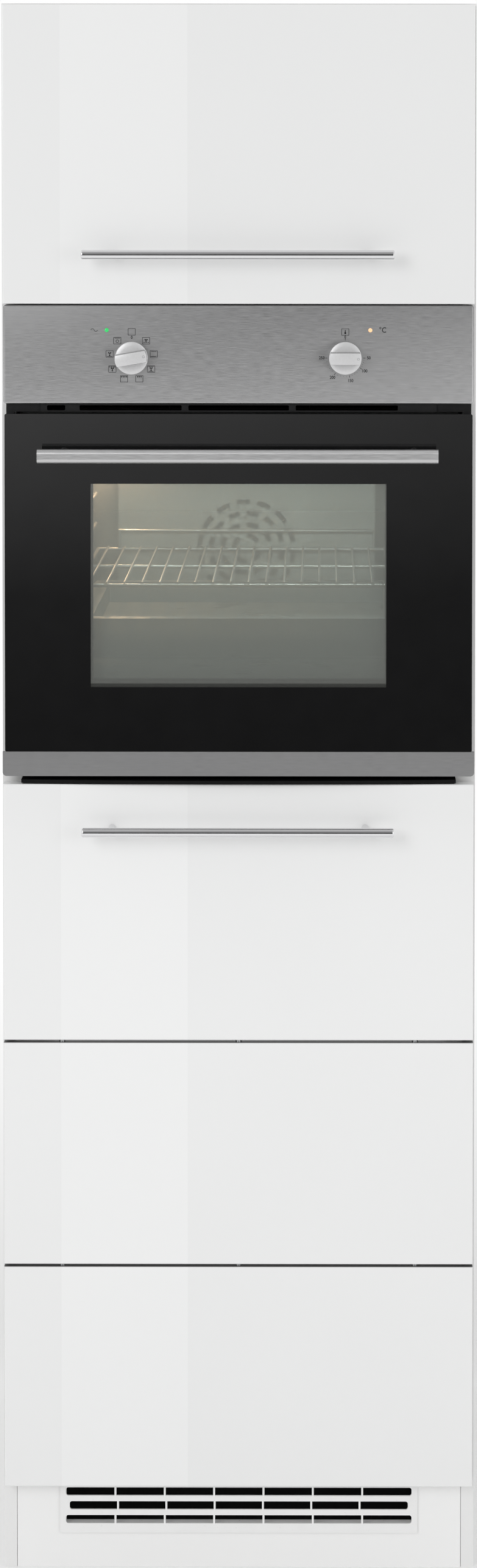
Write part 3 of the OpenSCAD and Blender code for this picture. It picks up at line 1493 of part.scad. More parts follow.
// Oval bar on two posts, screwed through the outer glass
module oven_handle() {
    y_bar = y_front - handle_reach;
    r = oven_bar_t / 2;
    color(steel) difference() {
        union() {
            block([-oven_bar_l / 2, oven_bar_l / 2], [y_bar, y_bar + oven_bar_t],
                  [z_oven_bar - oven_bar_h / 2 + r, z_oven_bar + oven_bar_h / 2 - r]);
            for (z = [z_oven_bar - oven_bar_h / 2 + r, z_oven_bar + oven_bar_h / 2 - r])
                rod_x([-oven_bar_l / 2, oven_bar_l / 2], y_bar + r, z, oven_bar_t);
            for (x = [-oven_post_x, oven_post_x])
                rod_y(x, [y_bar + r, y_front], z_oven_bar, oven_post_d);
        }
        for (x = [-oven_post_x, oven_post_x])
            rod_y(x, [y_front - oven_screw_in - dowel_end_gap, y_front + eps], z_oven_bar,
                  oven_screw_d + 2 * push_fit);
    }
    color(zinc) for (x = [-oven_post_x, oven_post_x]) {
        rod_y(x, [y_front - oven_screw_in, y_glass_back], z_oven_bar, oven_screw_d);
        rod_y(x, [y_glass_back, y_glass_back + oven_head_t], z_oven_bar, oven_head_d);
    }
}

side_panel_left();
side_panel_right();
top_panel();
compartment_floor();
oven_shelf();
bottom_panel();
upper_back_panel();
rear_rails();
plinth_board();
plinth_grille();
joining_fittings();
lower_hinge_arms();
flap_hinge_arms();
door_buffers();
oven_casing();
cavity_liner();
cavity_insulation();
cavity_front_frame();
door_seal();
control_fascia();
control_tray();
selector_switch();
thermostat();
signal_lights();
vent_trim();
side_racks();
oven_lamp();
fan_cover();
fan_motor();
heating_elements();
blower_housing();
terminal_block();
air_deflector();
oven_hinge_receivers();
oven_fixing_screws();
function_knob();
function_spindle();
temperature_knob();
temperature_spindle();
wire_shelf();
baking_tray();
fan_impeller();
blower_wheel();
oven_door_glass();
inner_door_glass();
oven_door_frame();
oven_door_strip();
oven_handle();
oven_hinge_pins();
flap_panel();
flap_hinge_cups();
upper_handle();
lower_front_top();
lower_front_middle();
lower_front_bottom();
front_connectors();
lower_hinge_cups();
lower_handle();
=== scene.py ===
"""Looks of a tall oven housing unit: finishes for the fixed frame's pieces, knobs and printed
symbols modelled around them, and the camera, floor and lights. Metres; the doors face -Y."""

import math

import bmesh
import bpy
from mathutils import Matrix, Vector


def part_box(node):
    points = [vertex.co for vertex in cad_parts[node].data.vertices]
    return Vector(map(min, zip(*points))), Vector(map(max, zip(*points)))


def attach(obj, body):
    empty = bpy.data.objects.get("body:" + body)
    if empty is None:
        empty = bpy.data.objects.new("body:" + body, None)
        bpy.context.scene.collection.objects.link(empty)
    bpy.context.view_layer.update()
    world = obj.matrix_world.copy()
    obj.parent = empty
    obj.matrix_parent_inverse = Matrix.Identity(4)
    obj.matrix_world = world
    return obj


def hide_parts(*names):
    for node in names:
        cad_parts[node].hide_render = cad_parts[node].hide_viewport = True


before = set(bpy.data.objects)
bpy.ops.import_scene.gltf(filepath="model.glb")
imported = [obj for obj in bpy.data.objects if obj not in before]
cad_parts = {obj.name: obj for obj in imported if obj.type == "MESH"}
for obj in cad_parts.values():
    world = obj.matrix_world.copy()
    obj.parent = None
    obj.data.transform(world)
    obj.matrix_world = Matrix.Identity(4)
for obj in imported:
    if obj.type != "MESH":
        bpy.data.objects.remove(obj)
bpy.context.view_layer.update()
MM = 0.001

# ------------------------------------------------------------------ places read from the frame


def low(node):
    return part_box(node)[0]


def high(node):
    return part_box(node)[1]


FACE_Y = low("flap_panel").y                     # plane of the doors' and the oven's faces
PANEL_Z = (low("control_fascia").z, high("control_fascia").z)
KNOB_LOW, KNOB_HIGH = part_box("temperature_knob")
KNOB_X = (KNOB_LOW.x + KNOB_HIGH.x) / 2          # the knobs sit at -KNOB_X and +KNOB_X
KNOB_Z = (KNOB_LOW.z + KNOB_HIGH.z) / 2
KNOB_RADIUS = (KNOB_HIGH.z - KNOB_LOW.z) / 2
KNOB_FRONT = KNOB_LOW.y
KNOB_BACK = KNOB_HIGH.y
LAMP_Z = (low("signal_lights").z + high("signal_lights").z) / 2
LAMP_X = high("signal_lights").x - (high("signal_lights").z - LAMP_Z)
CAVITY_LOW, CAVITY_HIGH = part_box("cavity_liner")
SEAMS_Z = ((high("lower_front_bottom").z, low("lower_front_middle").z),
           (high("lower_front_middle").z, low("lower_front_top").z))

# ------------------------------------------------------------------ sizes of what is printed

WINDOW_X = 186.5 * MM                            # half width of the clear window
WINDOW_Z = (1136 * MM, 1393.7 * MM)
INNER_WINDOW_X = WINDOW_X - 1 * MM               # the inner pane's window
INNER_WINDOW_Z = (WINDOW_Z[0] + 6 * MM, WINDOW_Z[1] + 4 * MM)
WINDOW_BLUR = 0.3 * MM                           # half width of a window's soft border
FOOT_BAND = 4.3 * MM                             # dark band along the outer window's foot
FOOT_BLUR = 0.5 * MM
SEAM_SHADE_LAP = 0.4 * MM                              # the painted shade in the seams laps this far onto the fronts' faces
PAINTED_SHEEN_X = (-225 * MM, -64 * MM)                  # painted reflection: a brighter upright band on the glossy fronts
PAINTED_SHEEN_BLUR = 0.5 * MM

# ------------------------------------------------------------------ node helpers

NOISE_REACH = (0.3, 0.7)                         # most of a noise's values lie between these


class Wiring:
    """Helpers for one node tree; each adds a node and gives back the output that counts."""

    def __init__(self, tree):
        self.nodes = tree.nodes
        self.links = tree.links

    def node(self, kind, **settings):
        made = self.nodes.new("ShaderNode" + kind)
        for key, value in settings.items():
            setattr(made, key, value)
        return made

    def join(self, source, node, socket):
        """Links an output to a socket, or sets the socket to a plain value."""
        if isinstance(source, bpy.types.NodeSocket):
            self.links.new(source, node.inputs[socket])
        else:
            node.inputs[socket].default_value = source

    def span(self, value, in_low, in_high, out_low=0, out_high=1):
        """value mapped from one span to another, held at its ends."""
        made = self.node("MapRange")
        for socket, source in (("Value", value), ("From Min", in_low), ("From Max", in_high),
                               ("To Min", out_low), ("To Max", out_high)):
            self.join(source, made, socket)
        return made.outputs["Result"]

    def math(self, operation, a, b=0):
        made = self.node("Math", operation=operation)
        self.join(a, made, 0)
        self.join(b, made, 1)
        return made.outputs["Value"]

    def level(self, factor, a, b):
        """Number between a and b."""
        made = self.node("Mix", data_type="FLOAT")
        for socket, source in ((0, factor), (2, a), (3, b)):
            self.join(source, made, socket)
        return made.outputs[0]

    def mix(self, factor, a, b, blend="MIX"):
        """Colour between a and b, each a colour or an output."""
        made = self.node("Mix", data_type="RGBA", blend_type=blend)
        self.join(factor, made, "Factor")
        for socket, source in ((6, a), (7, b)):
            self.join((*source, 1) if isinstance(source, tuple) else source, made, socket)
        return made.outputs[2]

    def shader_mix(self, factor, a, b):
        made = self.node("MixShader")
        for socket, source in ((0, factor), (1, a), (2, b)):
            self.join(source, made, socket)
        return made.outputs[0]

    def ramp(self, value, stops):
        """Grey by value, from stops that are each a place and a brightness."""
        made = self.node("ValToRGB")
        elements = made.color_ramp.elements
        while len(elements) < len(stops):
            elements.new(0.5)
        for element, (place, grey) in zip(elements, stops):
            element.position = place
            element.color = (grey, grey, grey, 1)
        self.join(value, made, "Fac")
        return made.outputs[0]


class Finish(Wiring):
    """A procedural material: a Principled shader and helpers for what feeds it."""

    def __init__(self, name, color, roughness, metallic=0.0, **sockets):
        self.mat = bpy.data.materials.new(name)
        self.mat.use_nodes = True
        super().__init__(self.mat.node_tree)
        self.shader = self.nodes["Principled BSDF"]
        self.join((*color, 1), self.shader, "Base Color")
        self.join(roughness, self.shader, "Roughness")
        self.join(metallic, self.shader, "Metallic")
        for key, value in sockets.items():
            self.join(value, self.shader, key.replace("_", " "))
        self.place = self.node("TexCoord").outputs["Object"]

    def stretched(self, x, y, z):
        """Object coordinates scaled by x, y and z."""
        mapping = self.node("Mapping")
        self.join((x, y, z), mapping, "Scale")
        self.join(self.place, mapping, "Vector")
        return mapping.outputs["Vector"]

    def axis(self, name):
        made = self.node("SeparateXYZ")
        self.join(self.place, made, "Vector")
        return made.outputs[name]

    def noise(self, vector, scale=1.0, detail=3.0, roughness=0.5):
        made = self.node("TexNoise")
        for socket, source in (("Vector", vector), ("Scale", scale), ("Detail", detail),
                               ("Roughness", roughness)):
            self.join(source, made, socket)
        return made.outputs["Fac"]

    def inside(self, value, low_end, high_end, blur):
        """1 between two ends and 0 outside; the blur of the borders lies within the ends."""
        rising = self.span(value, low_end, low_end + blur)
        falling = self.span(value, high_end - blur, high_end, 1, 0)
        return self.math("MULTIPLY", rising, falling)

    def varied(self, noise, dark, bright):
        """Colour that a noise takes from dark to bright."""
        return self.mix(self.span(noise, *NOISE_REACH), dark, bright)

    def color(self, output):
        self.join(output, self.shader, "Base Color")

    def rough(self, noise, smooth, coarse, reach=NOISE_REACH):
        """Roughness from smooth to coarse, as a noise goes through its reach."""
        self.join(self.span(noise, *reach, smooth, coarse), self.shader, "Roughness")

    def bump(self, height, strength, distance):
        made = self.node("Bump")
        for socket, source in (("Strength", strength), ("Distance", distance),
                               ("Height", height)):
            self.join(source, made, socket)
        self.join(made.outputs["Normal"], self.shader, "Normal")

    def surface(self, output):
        self.join(output, self.nodes["Material Output"], "Surface")


def shade(color, factor):
    return tuple(min(1.0, c * factor) for c in color)


# ------------------------------------------------------------------ finishes


def mottled(name, color, roughness, metallic=0.0, scale=40.0, spread=0.06, bump=0.0, **sockets):
    """A plain moulded, cast or painted surface with faint clouding and fine texture."""
    f = Finish(name, color, roughness, metallic, **sockets)
    cloud = f.noise(f.place, scale)
    f.color(f.varied(cloud, shade(color, 1 - spread), shade(color, 1 + spread)))
    f.rough(f.noise(f.place, scale * 3), roughness * 0.9, roughness * 1.12)
    if bump:
        f.bump(f.noise(f.place, scale * 25), bump, 0.1 * MM)
    return f.mat


def gloss_foil():
    """White high-gloss foil on the doors, with the slight waviness of a pressed film, a painted
    reflection in a brighter upright band and painted shade along the seams between the lower
    fronts."""
    color = (0.835, 0.838, 0.836)
    f = Finish("white_gloss_foil", color, 0.16, Coat_Weight=0.25, Coat_Roughness=0.06)
    tone = f.varied(f.noise(f.place, 3.0, 2), shade(color, 0.992), shade(color, 1.008))
    # painted reflection: a brighter upright band
    painted_sheen = f.inside(f.axis("X"), *PAINTED_SHEEN_X, PAINTED_SHEEN_BLUR)
    foil = f.mix(painted_sheen, tone, shade(color, 1.035))
    height = f.axis("Z")
    # painted shade in the seams between the lower fronts
    for z_low, z_high in SEAMS_Z:
        edge = f.inside(height, z_low - SEAM_SHADE_LAP, z_high + SEAM_SHADE_LAP, 0.2 * SEAM_SHADE_LAP)
        foil = f.mix(edge, foil, shade(color, 0.16))
    f.color(foil)
    f.bump(f.noise(f.place, 55.0, 2), 0.03, 0.3 * MM)
    return f.mat


def satin_foil(name, color):
    """Satin white foil of the boards, with a faint pressed pore."""
    f = Finish(name, color, 0.42)
    pore = f.noise(f.stretched(900, 900, 120), 1.0, 2)
    f.color(f.varied(f.noise(f.place, 2.0, 2), shade(color, 0.985), color))
    f.rough(pore, 0.38, 0.48, (0.35, 0.65))
    f.bump(pore, 0.08, 0.05 * MM)
    return f.mat


def brushed(name, color, roughness, spread, painted_shading=None):
    """Brushed stainless steel, its fine scratches running along X. The painted shading, painted
    light that brightens the steel towards its foot, is the lowest and highest place that it goes
    between and the factor of the brightness at its foot."""
    f = Finish(name, color, roughness, 1.0, Anisotropic=0.55)
    streaks = f.noise(f.stretched(70, 2200, 2200), 1.0, 2)
    bands = f.noise(f.stretched(14, 500, 500), 1.0, 2)
    grain = f.math("ADD", f.math("MULTIPLY", streaks, 0.72), f.math("MULTIPLY", bands, 0.28))
    # painted light: the colour brightens towards the foot
    if painted_shading:
        z_low, z_high, factor = painted_shading
        color = f.mix(f.span(f.axis("Z"), z_low, z_high), shade(color, factor), color)
    tone = f.mix(f.span(grain, 0.32, 0.68), (1 - spread,) * 3, (1 + spread,) * 3)
    f.color(f.mix(1.0, color, tone, "MULTIPLY"))
    f.rough(streaks, roughness * 0.85, roughness * 1.2)
    f.bump(streaks, 0.06, 0.02 * MM)
    return f.mat


def chrome(name, color, roughness):
    """Bright plated metal with faint polishing marks."""
    f = Finish(name, color, roughness, 1.0)
    marks = f.noise(f.stretched(60, 900, 900), 1.0, 2)
    f.color(f.varied(marks, shade(color, 0.97), color))
    f.rough(marks, roughness * 0.8, roughness * 1.4)
    return f.mat


def printed_glass(name, color, half_x, heights, painted_reflection, painted_reflection_share, foot_band=0.0):
    """Float glass printed black around a clear window. The window carries a faint diffuse film,
    a painted reflection of the room, which is a little paler at the top and dark in a band along
    its foot."""
    f = Finish(name, color, 0.03, Specular_IOR_Level=0.5)
    f.color(f.varied(f.noise(f.place, 30.0), shade(color, 0.9), shade(color, 1.1)))
    z_low, z_high = heights
    height = f.axis("Z")
    wide = half_x + WINDOW_BLUR
    mask = f.math(
        "MULTIPLY", f.inside(f.axis("X"), -wide, wide, 2 * WINDOW_BLUR),
        f.inside(height, z_low - WINDOW_BLUR, z_high + WINDOW_BLUR, 2 * WINDOW_BLUR))
    clear = f.node("BsdfTransparent")
    f.join((0.93, 0.96, 0.95, 1), clear, "Color")
    # diffuse film: painted reflection of the room on the window
    film = f.node("BsdfDiffuse")
    tone = f.mix(f.span(height, z_low, z_high), shade(painted_reflection, 1.04), shade(painted_reflection, 1.14))
    above_band = f.span(height, z_low + foot_band, z_low + foot_band + FOOT_BLUR)
    f.join(f.mix(above_band, shade(painted_reflection, 0.4), tone), film, "Color")
    gloss = f.node("BsdfGlossy")
    f.join(0.02, gloss, "Roughness")
    fresnel = f.node("Fresnel")
    f.join(1.45, fresnel, "IOR")
    pane = f.shader_mix(painted_reflection_share, clear.outputs[0], film.outputs[0])
    shiny = f.shader_mix(fresnel.outputs[0], pane, gloss.outputs[0])
    f.surface(f.shader_mix(mask, f.shader.outputs[0], shiny))
    return f.mat


def lit_lens(name, color, glow, strength):
    """Tinted glass or plastic with a light behind it."""
    f = Finish(name, color, 0.12)
    f.color(f.varied(f.noise(f.place, 300.0), shade(color, 0.9), color))
    f.join((*glow, 1), f.shader, "Emission Color")
    f.join(strength, f.shader, "Emission Strength")
    return f.mat


def enamel(name, color):
    """Grey vitreous enamel with its fine light specks."""
    f = Finish(name, color, 0.3)
    specks = f.span(f.noise(f.place, 900.0, 2), 0.68, 0.75, 0, 0.5)
    cloud = f.noise(f.place, 12.0)
    base = f.varied(cloud, shade(color, 0.9), shade(color, 1.1))
    f.color(f.mix(specks, base, (0.3, 0.31, 0.31)))
    f.rough(cloud, 0.24, 0.38)
    f.bump(f.noise(f.place, 260.0), 0.05, 0.1 * MM)
    return f.mat


def galvanised():
    """Zinc-coated sheet with its patchwork of crystals."""
    f = Finish("galvanised_sheet", (0.52, 0.54, 0.55), 0.4, 1.0)
    cells = f.node("TexVoronoi")
    f.join(130.0, cells, "Scale")
    f.join(f.place, cells, "Vector")
    tone = f.node("RGBToBW")
    f.join(cells.outputs["Color"], tone, "Color")
    f.color(f.mix(tone.outputs[0], (0.46, 0.48, 0.49), (0.55, 0.57, 0.58)))
    f.rough(tone.outputs[0], 0.36, 0.44, (0, 1))
    return f.mat


def mineral_wool():
    """Yellowish blanket of matted strands."""
    color = (0.72, 0.66, 0.5)
    f = Finish("mineral_wool", color, 0.95, Sheen_Weight=0.3)
    strands = f.noise(f.stretched(60, 60, 500), 1.0, 6, 0.7)
    f.color(f.varied(strands, shade(color, 0.75), shade(color, 1.15)))
    f.bump(strands, 0.6, 2 * MM)
    return f.mat


def beech():
    """Wood of the dowels, its grain running along X."""
    f = Finish("beech", (0.6, 0.42, 0.25), 0.5)
    grain = f.noise(f.stretched(40, 900, 900), 1.0, 4)
    f.color(f.varied(grain, (0.5, 0.33, 0.19), (0.66, 0.48, 0.3)))
    f.bump(grain, 0.2, 0.1 * MM)
    return f.mat


FINISHES = {
    "gloss": gloss_foil(),
    "satin": satin_foil("satin_white_foil", (0.82, 0.82, 0.815)),
    # the side panels' satin foil, painted lighter on the plinth against the shade under the
    # doors: painted light
    "plinth": satin_foil("satin_foil_painted_lighter", (0.89, 0.89, 0.885)),
    "board": satin_foil("white_melamine", (0.8, 0.8, 0.79)),
    "hardboard": mottled("lacquered_hardboard", (0.8, 0.79, 0.76), 0.55, scale=90,
                         spread=0.015, bump=0.1),
    "grille": mottled("white_moulded_plastic", (0.85, 0.85, 0.845), 0.3, scale=60,
                      spread=0.01, bump=0.04),
    "zinc": mottled("zinc_plate", (0.6, 0.61, 0.62), 0.32, 1.0, scale=120),
    "rubber": mottled("clear_rubber", (0.6, 0.6, 0.6), 0.5, scale=80),
    "galvanised": galvanised(),
    "enamel": enamel("grey_enamel", (0.1, 0.104, 0.102)),
    # the liner's grey enamel painted lighter on the fan cover: painted light
    "cover": enamel("grey_enamel_painted_lighter", (0.21, 0.216, 0.21)),
    "wool": mineral_wool(),
    "seal": mottled("braided_seal", (0.03, 0.03, 0.03), 0.85, scale=500, spread=0.5, bump=0.6),
    # painted light: the fascia brightens towards its foot
    "fascia": brushed("brushed_panel", (0.31, 0.31, 0.312), 0.4, 0.09, (*PANEL_Z, 1.53)),
    "strip": brushed("brushed_strip", (0.305, 0.305, 0.307), 0.4, 0.05),
    "handle": brushed("brushed_handle", (0.6, 0.6, 0.602), 0.36, 0.03),
    "switch": mottled("switch_moulding", (0.7, 0.69, 0.65), 0.5, scale=90, bump=0.05),
    "brass": mottled("thermostat_brass", (0.6, 0.44, 0.22), 0.35, 1.0, scale=90),
    # black paint of the vent trim; on the blower housing it is painted shade
    "black_metal": mottled("black_sheet_and_painted_shade", (0.01, 0.01, 0.0105), 0.4, scale=60,
                           spread=0.2, Specular_IOR_Level=0.25),
    "black_lip": mottled("black_edge_trim", (0.005, 0.005, 0.005), 0.5, scale=60,
                         spread=0.2, Specular_IOR_Level=0.1),
    "chrome": chrome("bright_chrome", (0.8, 0.8, 0.81), 0.1),
    "wire": mottled("nickel_wire", (0.27, 0.27, 0.265), 0.34, 0.7, scale=200),
    "lamp": lit_lens("oven_lamp_glass", (0.9, 0.7, 0.5), (1.0, 0.62, 0.35), 4.0),
    "heater": mottled("heating_tube", (0.09, 0.088, 0.09), 0.45, 1.0, scale=200, spread=0.25),
    "black_plastic": mottled("black_plastic", (0.02, 0.02, 0.02), 0.45, scale=120, bump=0.1),
    "knob": mottled("satin_silver", (0.68, 0.68, 0.685), 0.36, 0.3, scale=400, spread=0.02),
    # the satin silver darkened: painted shade on the grip's sides and its painted shadow lines
    "knob_painted_shade": mottled("satin_silver_painted_shade", (0.4, 0.4, 0.402), 0.4, 0.3, scale=400,
                         spread=0.02),
    "fittings": beech(),
    # the windows' diffuse films are painted reflection
    "outer_glass": printed_glass("black_printed_glass", (0.006, 0.006, 0.0062), WINDOW_X,
                                 WINDOW_Z, (0.335, 0.343, 0.32), 0.255, FOOT_BAND),
    "inner_glass": printed_glass("inner_pane", (0.01, 0.0105, 0.01), INNER_WINDOW_X,
                                 INNER_WINDOW_Z, (0.66, 0.675, 0.62), 0.31),
    "green_light": lit_lens("green_lens", (0.02, 0.3, 0.08), (0.03, 0.6, 0.13), 0.75),
    "orange_light": lit_lens("orange_lens", (0.75, 0.4, 0.2), (1.0, 0.62, 0.36), 0.65),
    "ink": mottled("screen_print", (0.016, 0.016, 0.017), 0.6, scale=300, spread=0.15),
}

# Finish of every piece of the frame
DRESS = {
    "gloss": ["flap_panel", "lower_front_top", "lower_front_middle", "lower_front_bottom"],
    "satin": ["side_panel_left", "side_panel_right"],
    "plinth": ["plinth_board"],
    "board": ["top_panel", "compartment_floor", "oven_shelf", "bottom_panel", "rear_rails"],
    "hardboard": ["upper_back_panel"],
    "grille": ["plinth_grille"],
    "fittings": ["joining_fittings"],
    "zinc": ["lower_hinge_arms", "flap_hinge_arms", "oven_hinge_receivers", "oven_fixing_screws",
             "function_spindle", "temperature_spindle", "flap_hinge_cups", "front_connectors",
             "lower_hinge_cups", "fan_motor"],
    "rubber": ["door_buffers"],
    "galvanised": ["oven_casing", "control_tray"],
    "enamel": ["cavity_liner", "cavity_front_frame", "baking_tray", "oven_door_frame"],
    "cover": ["fan_cover"],
    "wool": ["cavity_insulation"],
    "seal": ["door_seal"],
    "fascia": ["control_fascia"],
    "strip": ["oven_door_strip"],
    "handle": ["oven_handle"],
    "switch": ["selector_switch"],
    "brass": ["thermostat"],
    # the blower housing, galvanised in the real oven, is dressed black: painted shade seen
    # through the vent slots
    "black_metal": ["vent_trim", "blower_housing"],
    "black_lip": ["air_deflector"],
    "chrome": ["upper_handle", "lower_handle", "oven_hinge_pins"],
    "wire": ["side_racks", "wire_shelf"],
    "lamp": ["oven_lamp"],
    "heater": ["heating_elements", "fan_impeller"],
    "black_plastic": ["terminal_block", "blower_wheel"],
    "outer_glass": ["oven_door_glass"],
    "inner_glass": ["inner_door_glass"],
}


def dress_frame():
    for finish, nodes in DRESS.items():
        for node in nodes:
            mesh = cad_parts[node].data
            mesh.materials.clear()
            mesh.materials.append(FINISHES[finish])


# ------------------------------------------------------------------ pieces


def new_piece(name, bm, finish, body):
    """Turns a finished bmesh into a piece that rides on a body."""
    mesh = bpy.data.meshes.new(name)
    bm.to_mesh(mesh)
    bm.free()
    mesh.materials.append(FINISHES[finish])
    piece = bpy.data.objects.new(name, mesh)
    bpy.context.scene.collection.objects.link(piece)
    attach(piece, body)
    return piece


def smooth_by_angle(piece, degrees=35):
    """Smooth shading that keeps edges sharper than the given angle."""
    for polygon in piece.data.polygons:
        polygon.use_smooth = True
    piece.data.set_sharp_from_angle(angle=math.radians(degrees))


def verts_of(made):
    return [g for g in made["geom"] if isinstance(g, bmesh.types.BMVert)]


def edges_of(made):
    return [g for g in made["geom"] if isinstance(g, bmesh.types.BMEdge)]


def box_of(bm, size, centre):
    """Adds a box and returns its vertices."""
    verts = bmesh.ops.create_cube(bm, size=1)["verts"]
    bmesh.ops.scale(bm, verts=verts, vec=size)
    bmesh.ops.translate(bm, verts=verts, vec=centre)
    return verts


def rounded(bm, edges, radius, segments):
    bmesh.ops.bevel(bm, geom=edges, offset=radius, segments=segments, profile=0.5,
                    affect="EDGES", material=-1)


def on_panel(x, z, y=FACE_Y):
    """Matrix that stands what is drawn flat on XY up on the control panel, facing -Y."""
    return Matrix.Translation((x, y, z)) @ Matrix.Rotation(math.radians(90), 4, "X")


def control_panel(corner_r=3 * MM, edge_r=2.4 * MM, wall=1.5 * MM):
    """Pressed steel shell, open at the back, with rounded corners and a rolled front edge."""
    low_corner, high_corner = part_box("control_fascia")
    size = high_corner - low_corner
    bm = bmesh.new()
    box_of(bm, size, (low_corner + high_corner) / 2)
    back = [f for f in bm.faces if f.normal.y > 0.5]
    bmesh.ops.delete(bm, geom=back, context="FACES_ONLY")
    deep = [e for e in bm.edges if abs(e.verts[0].co.y - e.verts[1].co.y) > size.y / 2]
    rounded(bm, deep, corner_r, 5)
    front = [e for e in bm.edges if all(v.co.y < low_corner.y + 0.01 * MM for v in e.verts)]
    rounded(bm, front, edge_r, 5)
    bmesh.ops.solidify(bm, geom=bm.faces, thickness=wall)
    bmesh.ops.recalc_face_normals(bm, faces=bm.faces)
    panel = new_piece("control_panel_shell", bm, "fascia", "housing")
    smooth_by_angle(panel)
    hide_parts("control_fascia")


# ------------------------------------------------------------------ printed lines

PRINT_T = 0.08 * MM                              # the print stands this far off the panel
LINE = 0.6 * MM                                  # width of a printed line


def thicken(bm, faces):
    """Gives flat faces drawn at z = 0 the print's thickness."""
    made = bmesh.ops.extrude_face_region(bm, geom=faces)
    top = verts_of(made)
    bmesh.ops.translate(bm, verts=top, vec=(0, 0, PRINT_T))
    plate = {f for v in top for f in v.link_faces}.union(faces)
    bmesh.ops.recalc_face_normals(bm, faces=list(plate))


def bar_plate(bm, x0, y0, x1, y1, width=LINE):
    """Straight printed line from one point to another."""
    start, end = Vector((x0, y0, 0)), Vector((x1, y1, 0))
    across = (end - start).normalized().cross(Vector((0, 0, 1))) * width / 2
    corners = (start + across, end + across, end - across, start - across)
    thicken(bm, [bm.faces.new([bm.verts.new(p) for p in corners])])


def ring_plate(bm, x, y, radius, width=LINE, start=0, end=360, segments=32):
    """Printed circle or arc; angles run anticlockwise from the right."""
    whole = end - start >= 360
    a = math.radians(start)
    across = [bm.verts.new((x + r * math.cos(a), y + r * math.sin(a), 0))
              for r in (radius - width / 2, radius + width / 2)]
    before = set(bm.faces)
    bmesh.ops.spin(bm, geom=[*across, bm.edges.new(across)], cent=(x, y, 0), axis=(0, 0, 1),
                   angle=math.radians(end - start), use_merge=whole,
                   steps=segments if whole else max(4, int(segments * (end - start) / 360)))
    thicken(bm, [f for f in bm.faces if f not in before])


def disc_plate(bm, x, y, radius, segments=12):
    made = bmesh.ops.create_circle(bm, cap_ends=True, radius=radius, segments=segments,
                                   matrix=Matrix.Translation((x, y, 0)))
    thicken(bm, list({f for v in made["verts"] for f in v.link_faces}))


def tooth_plate(bm, x, y, size):
    """Small solid tooth that narrows downwards."""
    tip = 0.2 * size
    points = ((x - size / 2, y), (x - tip, y - size), (x + tip, y - size), (x + size / 2, y))
    thicken(bm, [bm.faces.new([bm.verts.new((px, py, 0)) for px, py in points])])


# ------------------------------------------------------------------ knobs

SKIRT_H = 8.2 * MM
SKIRT_SIDE_H = SKIRT_H - 0.8 * MM
# The skirt's rounded edge and low dome: share of the radius, rise above its straight side
SKIRT_RINGS = ((0.985, 0.3 * MM), (0.95, 0.6 * MM), (0.7, 1.3 * MM), (0.35, 1.7 * MM))
GRIP_HALF_W = 7.5 * MM
GRIP_FOOT = 4 * MM                               # the grip starts inside the skirt
GRIP_INSET = 0.5 * MM                            # its ends keep inside the skirt's edge
GRIP_EDGE_R = 0.7 * MM
SHADOW_W, SHADOW_H = 0.5 * MM, 2.6 * MM          # painted shadow: a dark strip along the grip's foot
SHADOW_INSET = 0.8 * MM
MARK_INSET, MARK_R, MARK_W = 4.2 * MM, 1.35 * MM, 0.22 * MM
MARK_PROUD = 0.02 * MM
KNOB_SEGMENTS = 96


def knob_skirt():
    """Short round body with a softened edge and a slightly domed face."""
    bm = bmesh.new()
    bmesh.ops.create_circle(bm, cap_ends=True, radius=KNOB_RADIUS, segments=KNOB_SEGMENTS)
    made = bmesh.ops.extrude_edge_only(bm, edges=list(bm.edges))
    bmesh.ops.translate(bm, verts=verts_of(made), vec=(0, 0, SKIRT_SIDE_H))
    radius = KNOB_RADIUS
    for share, rise in SKIRT_RINGS:
        made = bmesh.ops.extrude_edge_only(bm, edges=edges_of(made))
        ring = verts_of(made)
        scale = share * KNOB_RADIUS / radius
        radius = share * KNOB_RADIUS
        bmesh.ops.scale(bm, verts=ring, vec=(scale, scale, 1))
        bmesh.ops.translate(bm, verts=ring, vec=(0, 0, SKIRT_SIDE_H + rise - ring[0].co.z))
    bmesh.ops.holes_fill(bm, edges=edges_of(made))
    return bm


def knob_grip():
    """Disc cut down to a bar with softened edges, and a painted shadow, a thin dark strip, along
    each side's foot. Its side faces and the lines take the second material, the satin silver
    darkened as painted shade."""
    bm = bmesh.new()
    bmesh.ops.create_circle(bm, cap_ends=True, radius=KNOB_RADIUS - GRIP_INSET,
                            segments=KNOB_SEGMENTS)
    made = bmesh.ops.extrude_face_region(bm, geom=list(bm.faces))
    height = KNOB_BACK - KNOB_FRONT - GRIP_FOOT
    bmesh.ops.translate(bm, verts=verts_of(made), vec=(0, 0, height))
    for side in (-1, 1):
        cut = bmesh.ops.bisect_plane(
            bm, geom=[*bm.verts, *bm.edges, *bm.faces], plane_co=(side * GRIP_HALF_W, 0, 0),
            plane_no=(side, 0, 0), clear_outer=True)
        rim = [g for g in cut["geom_cut"] if isinstance(g, bmesh.types.BMEdge)]
        bmesh.ops.holes_fill(bm, edges=rim)
    bmesh.ops.translate(bm, verts=bm.verts, vec=(0, 0, GRIP_FOOT))
    # the grip's side faces take the darker copy: painted shade
    for face in bm.faces:
        face.material_index = int(abs(face.normal.x) > 0.9 and abs(face.normal.z) < 0.1)
    sharp = [e for e in bm.edges if e.is_manifold and e.calc_face_angle(0) > 0.9]
    rounded(bm, sharp, GRIP_EDGE_R, 3)
    x_line = GRIP_HALF_W + SHADOW_W / 2
    reach = math.sqrt(KNOB_RADIUS ** 2 - x_line ** 2) - SHADOW_INSET
    # painted shadow: a thin dark strip along each side's foot
    for side in (-1, 1):
        line = box_of(bm, (SHADOW_W, 2 * reach, SHADOW_H), (side * x_line, 0, SKIRT_H))
        for face in {f for v in line for f in v.link_faces}:
            face.material_index = 1
    return bm


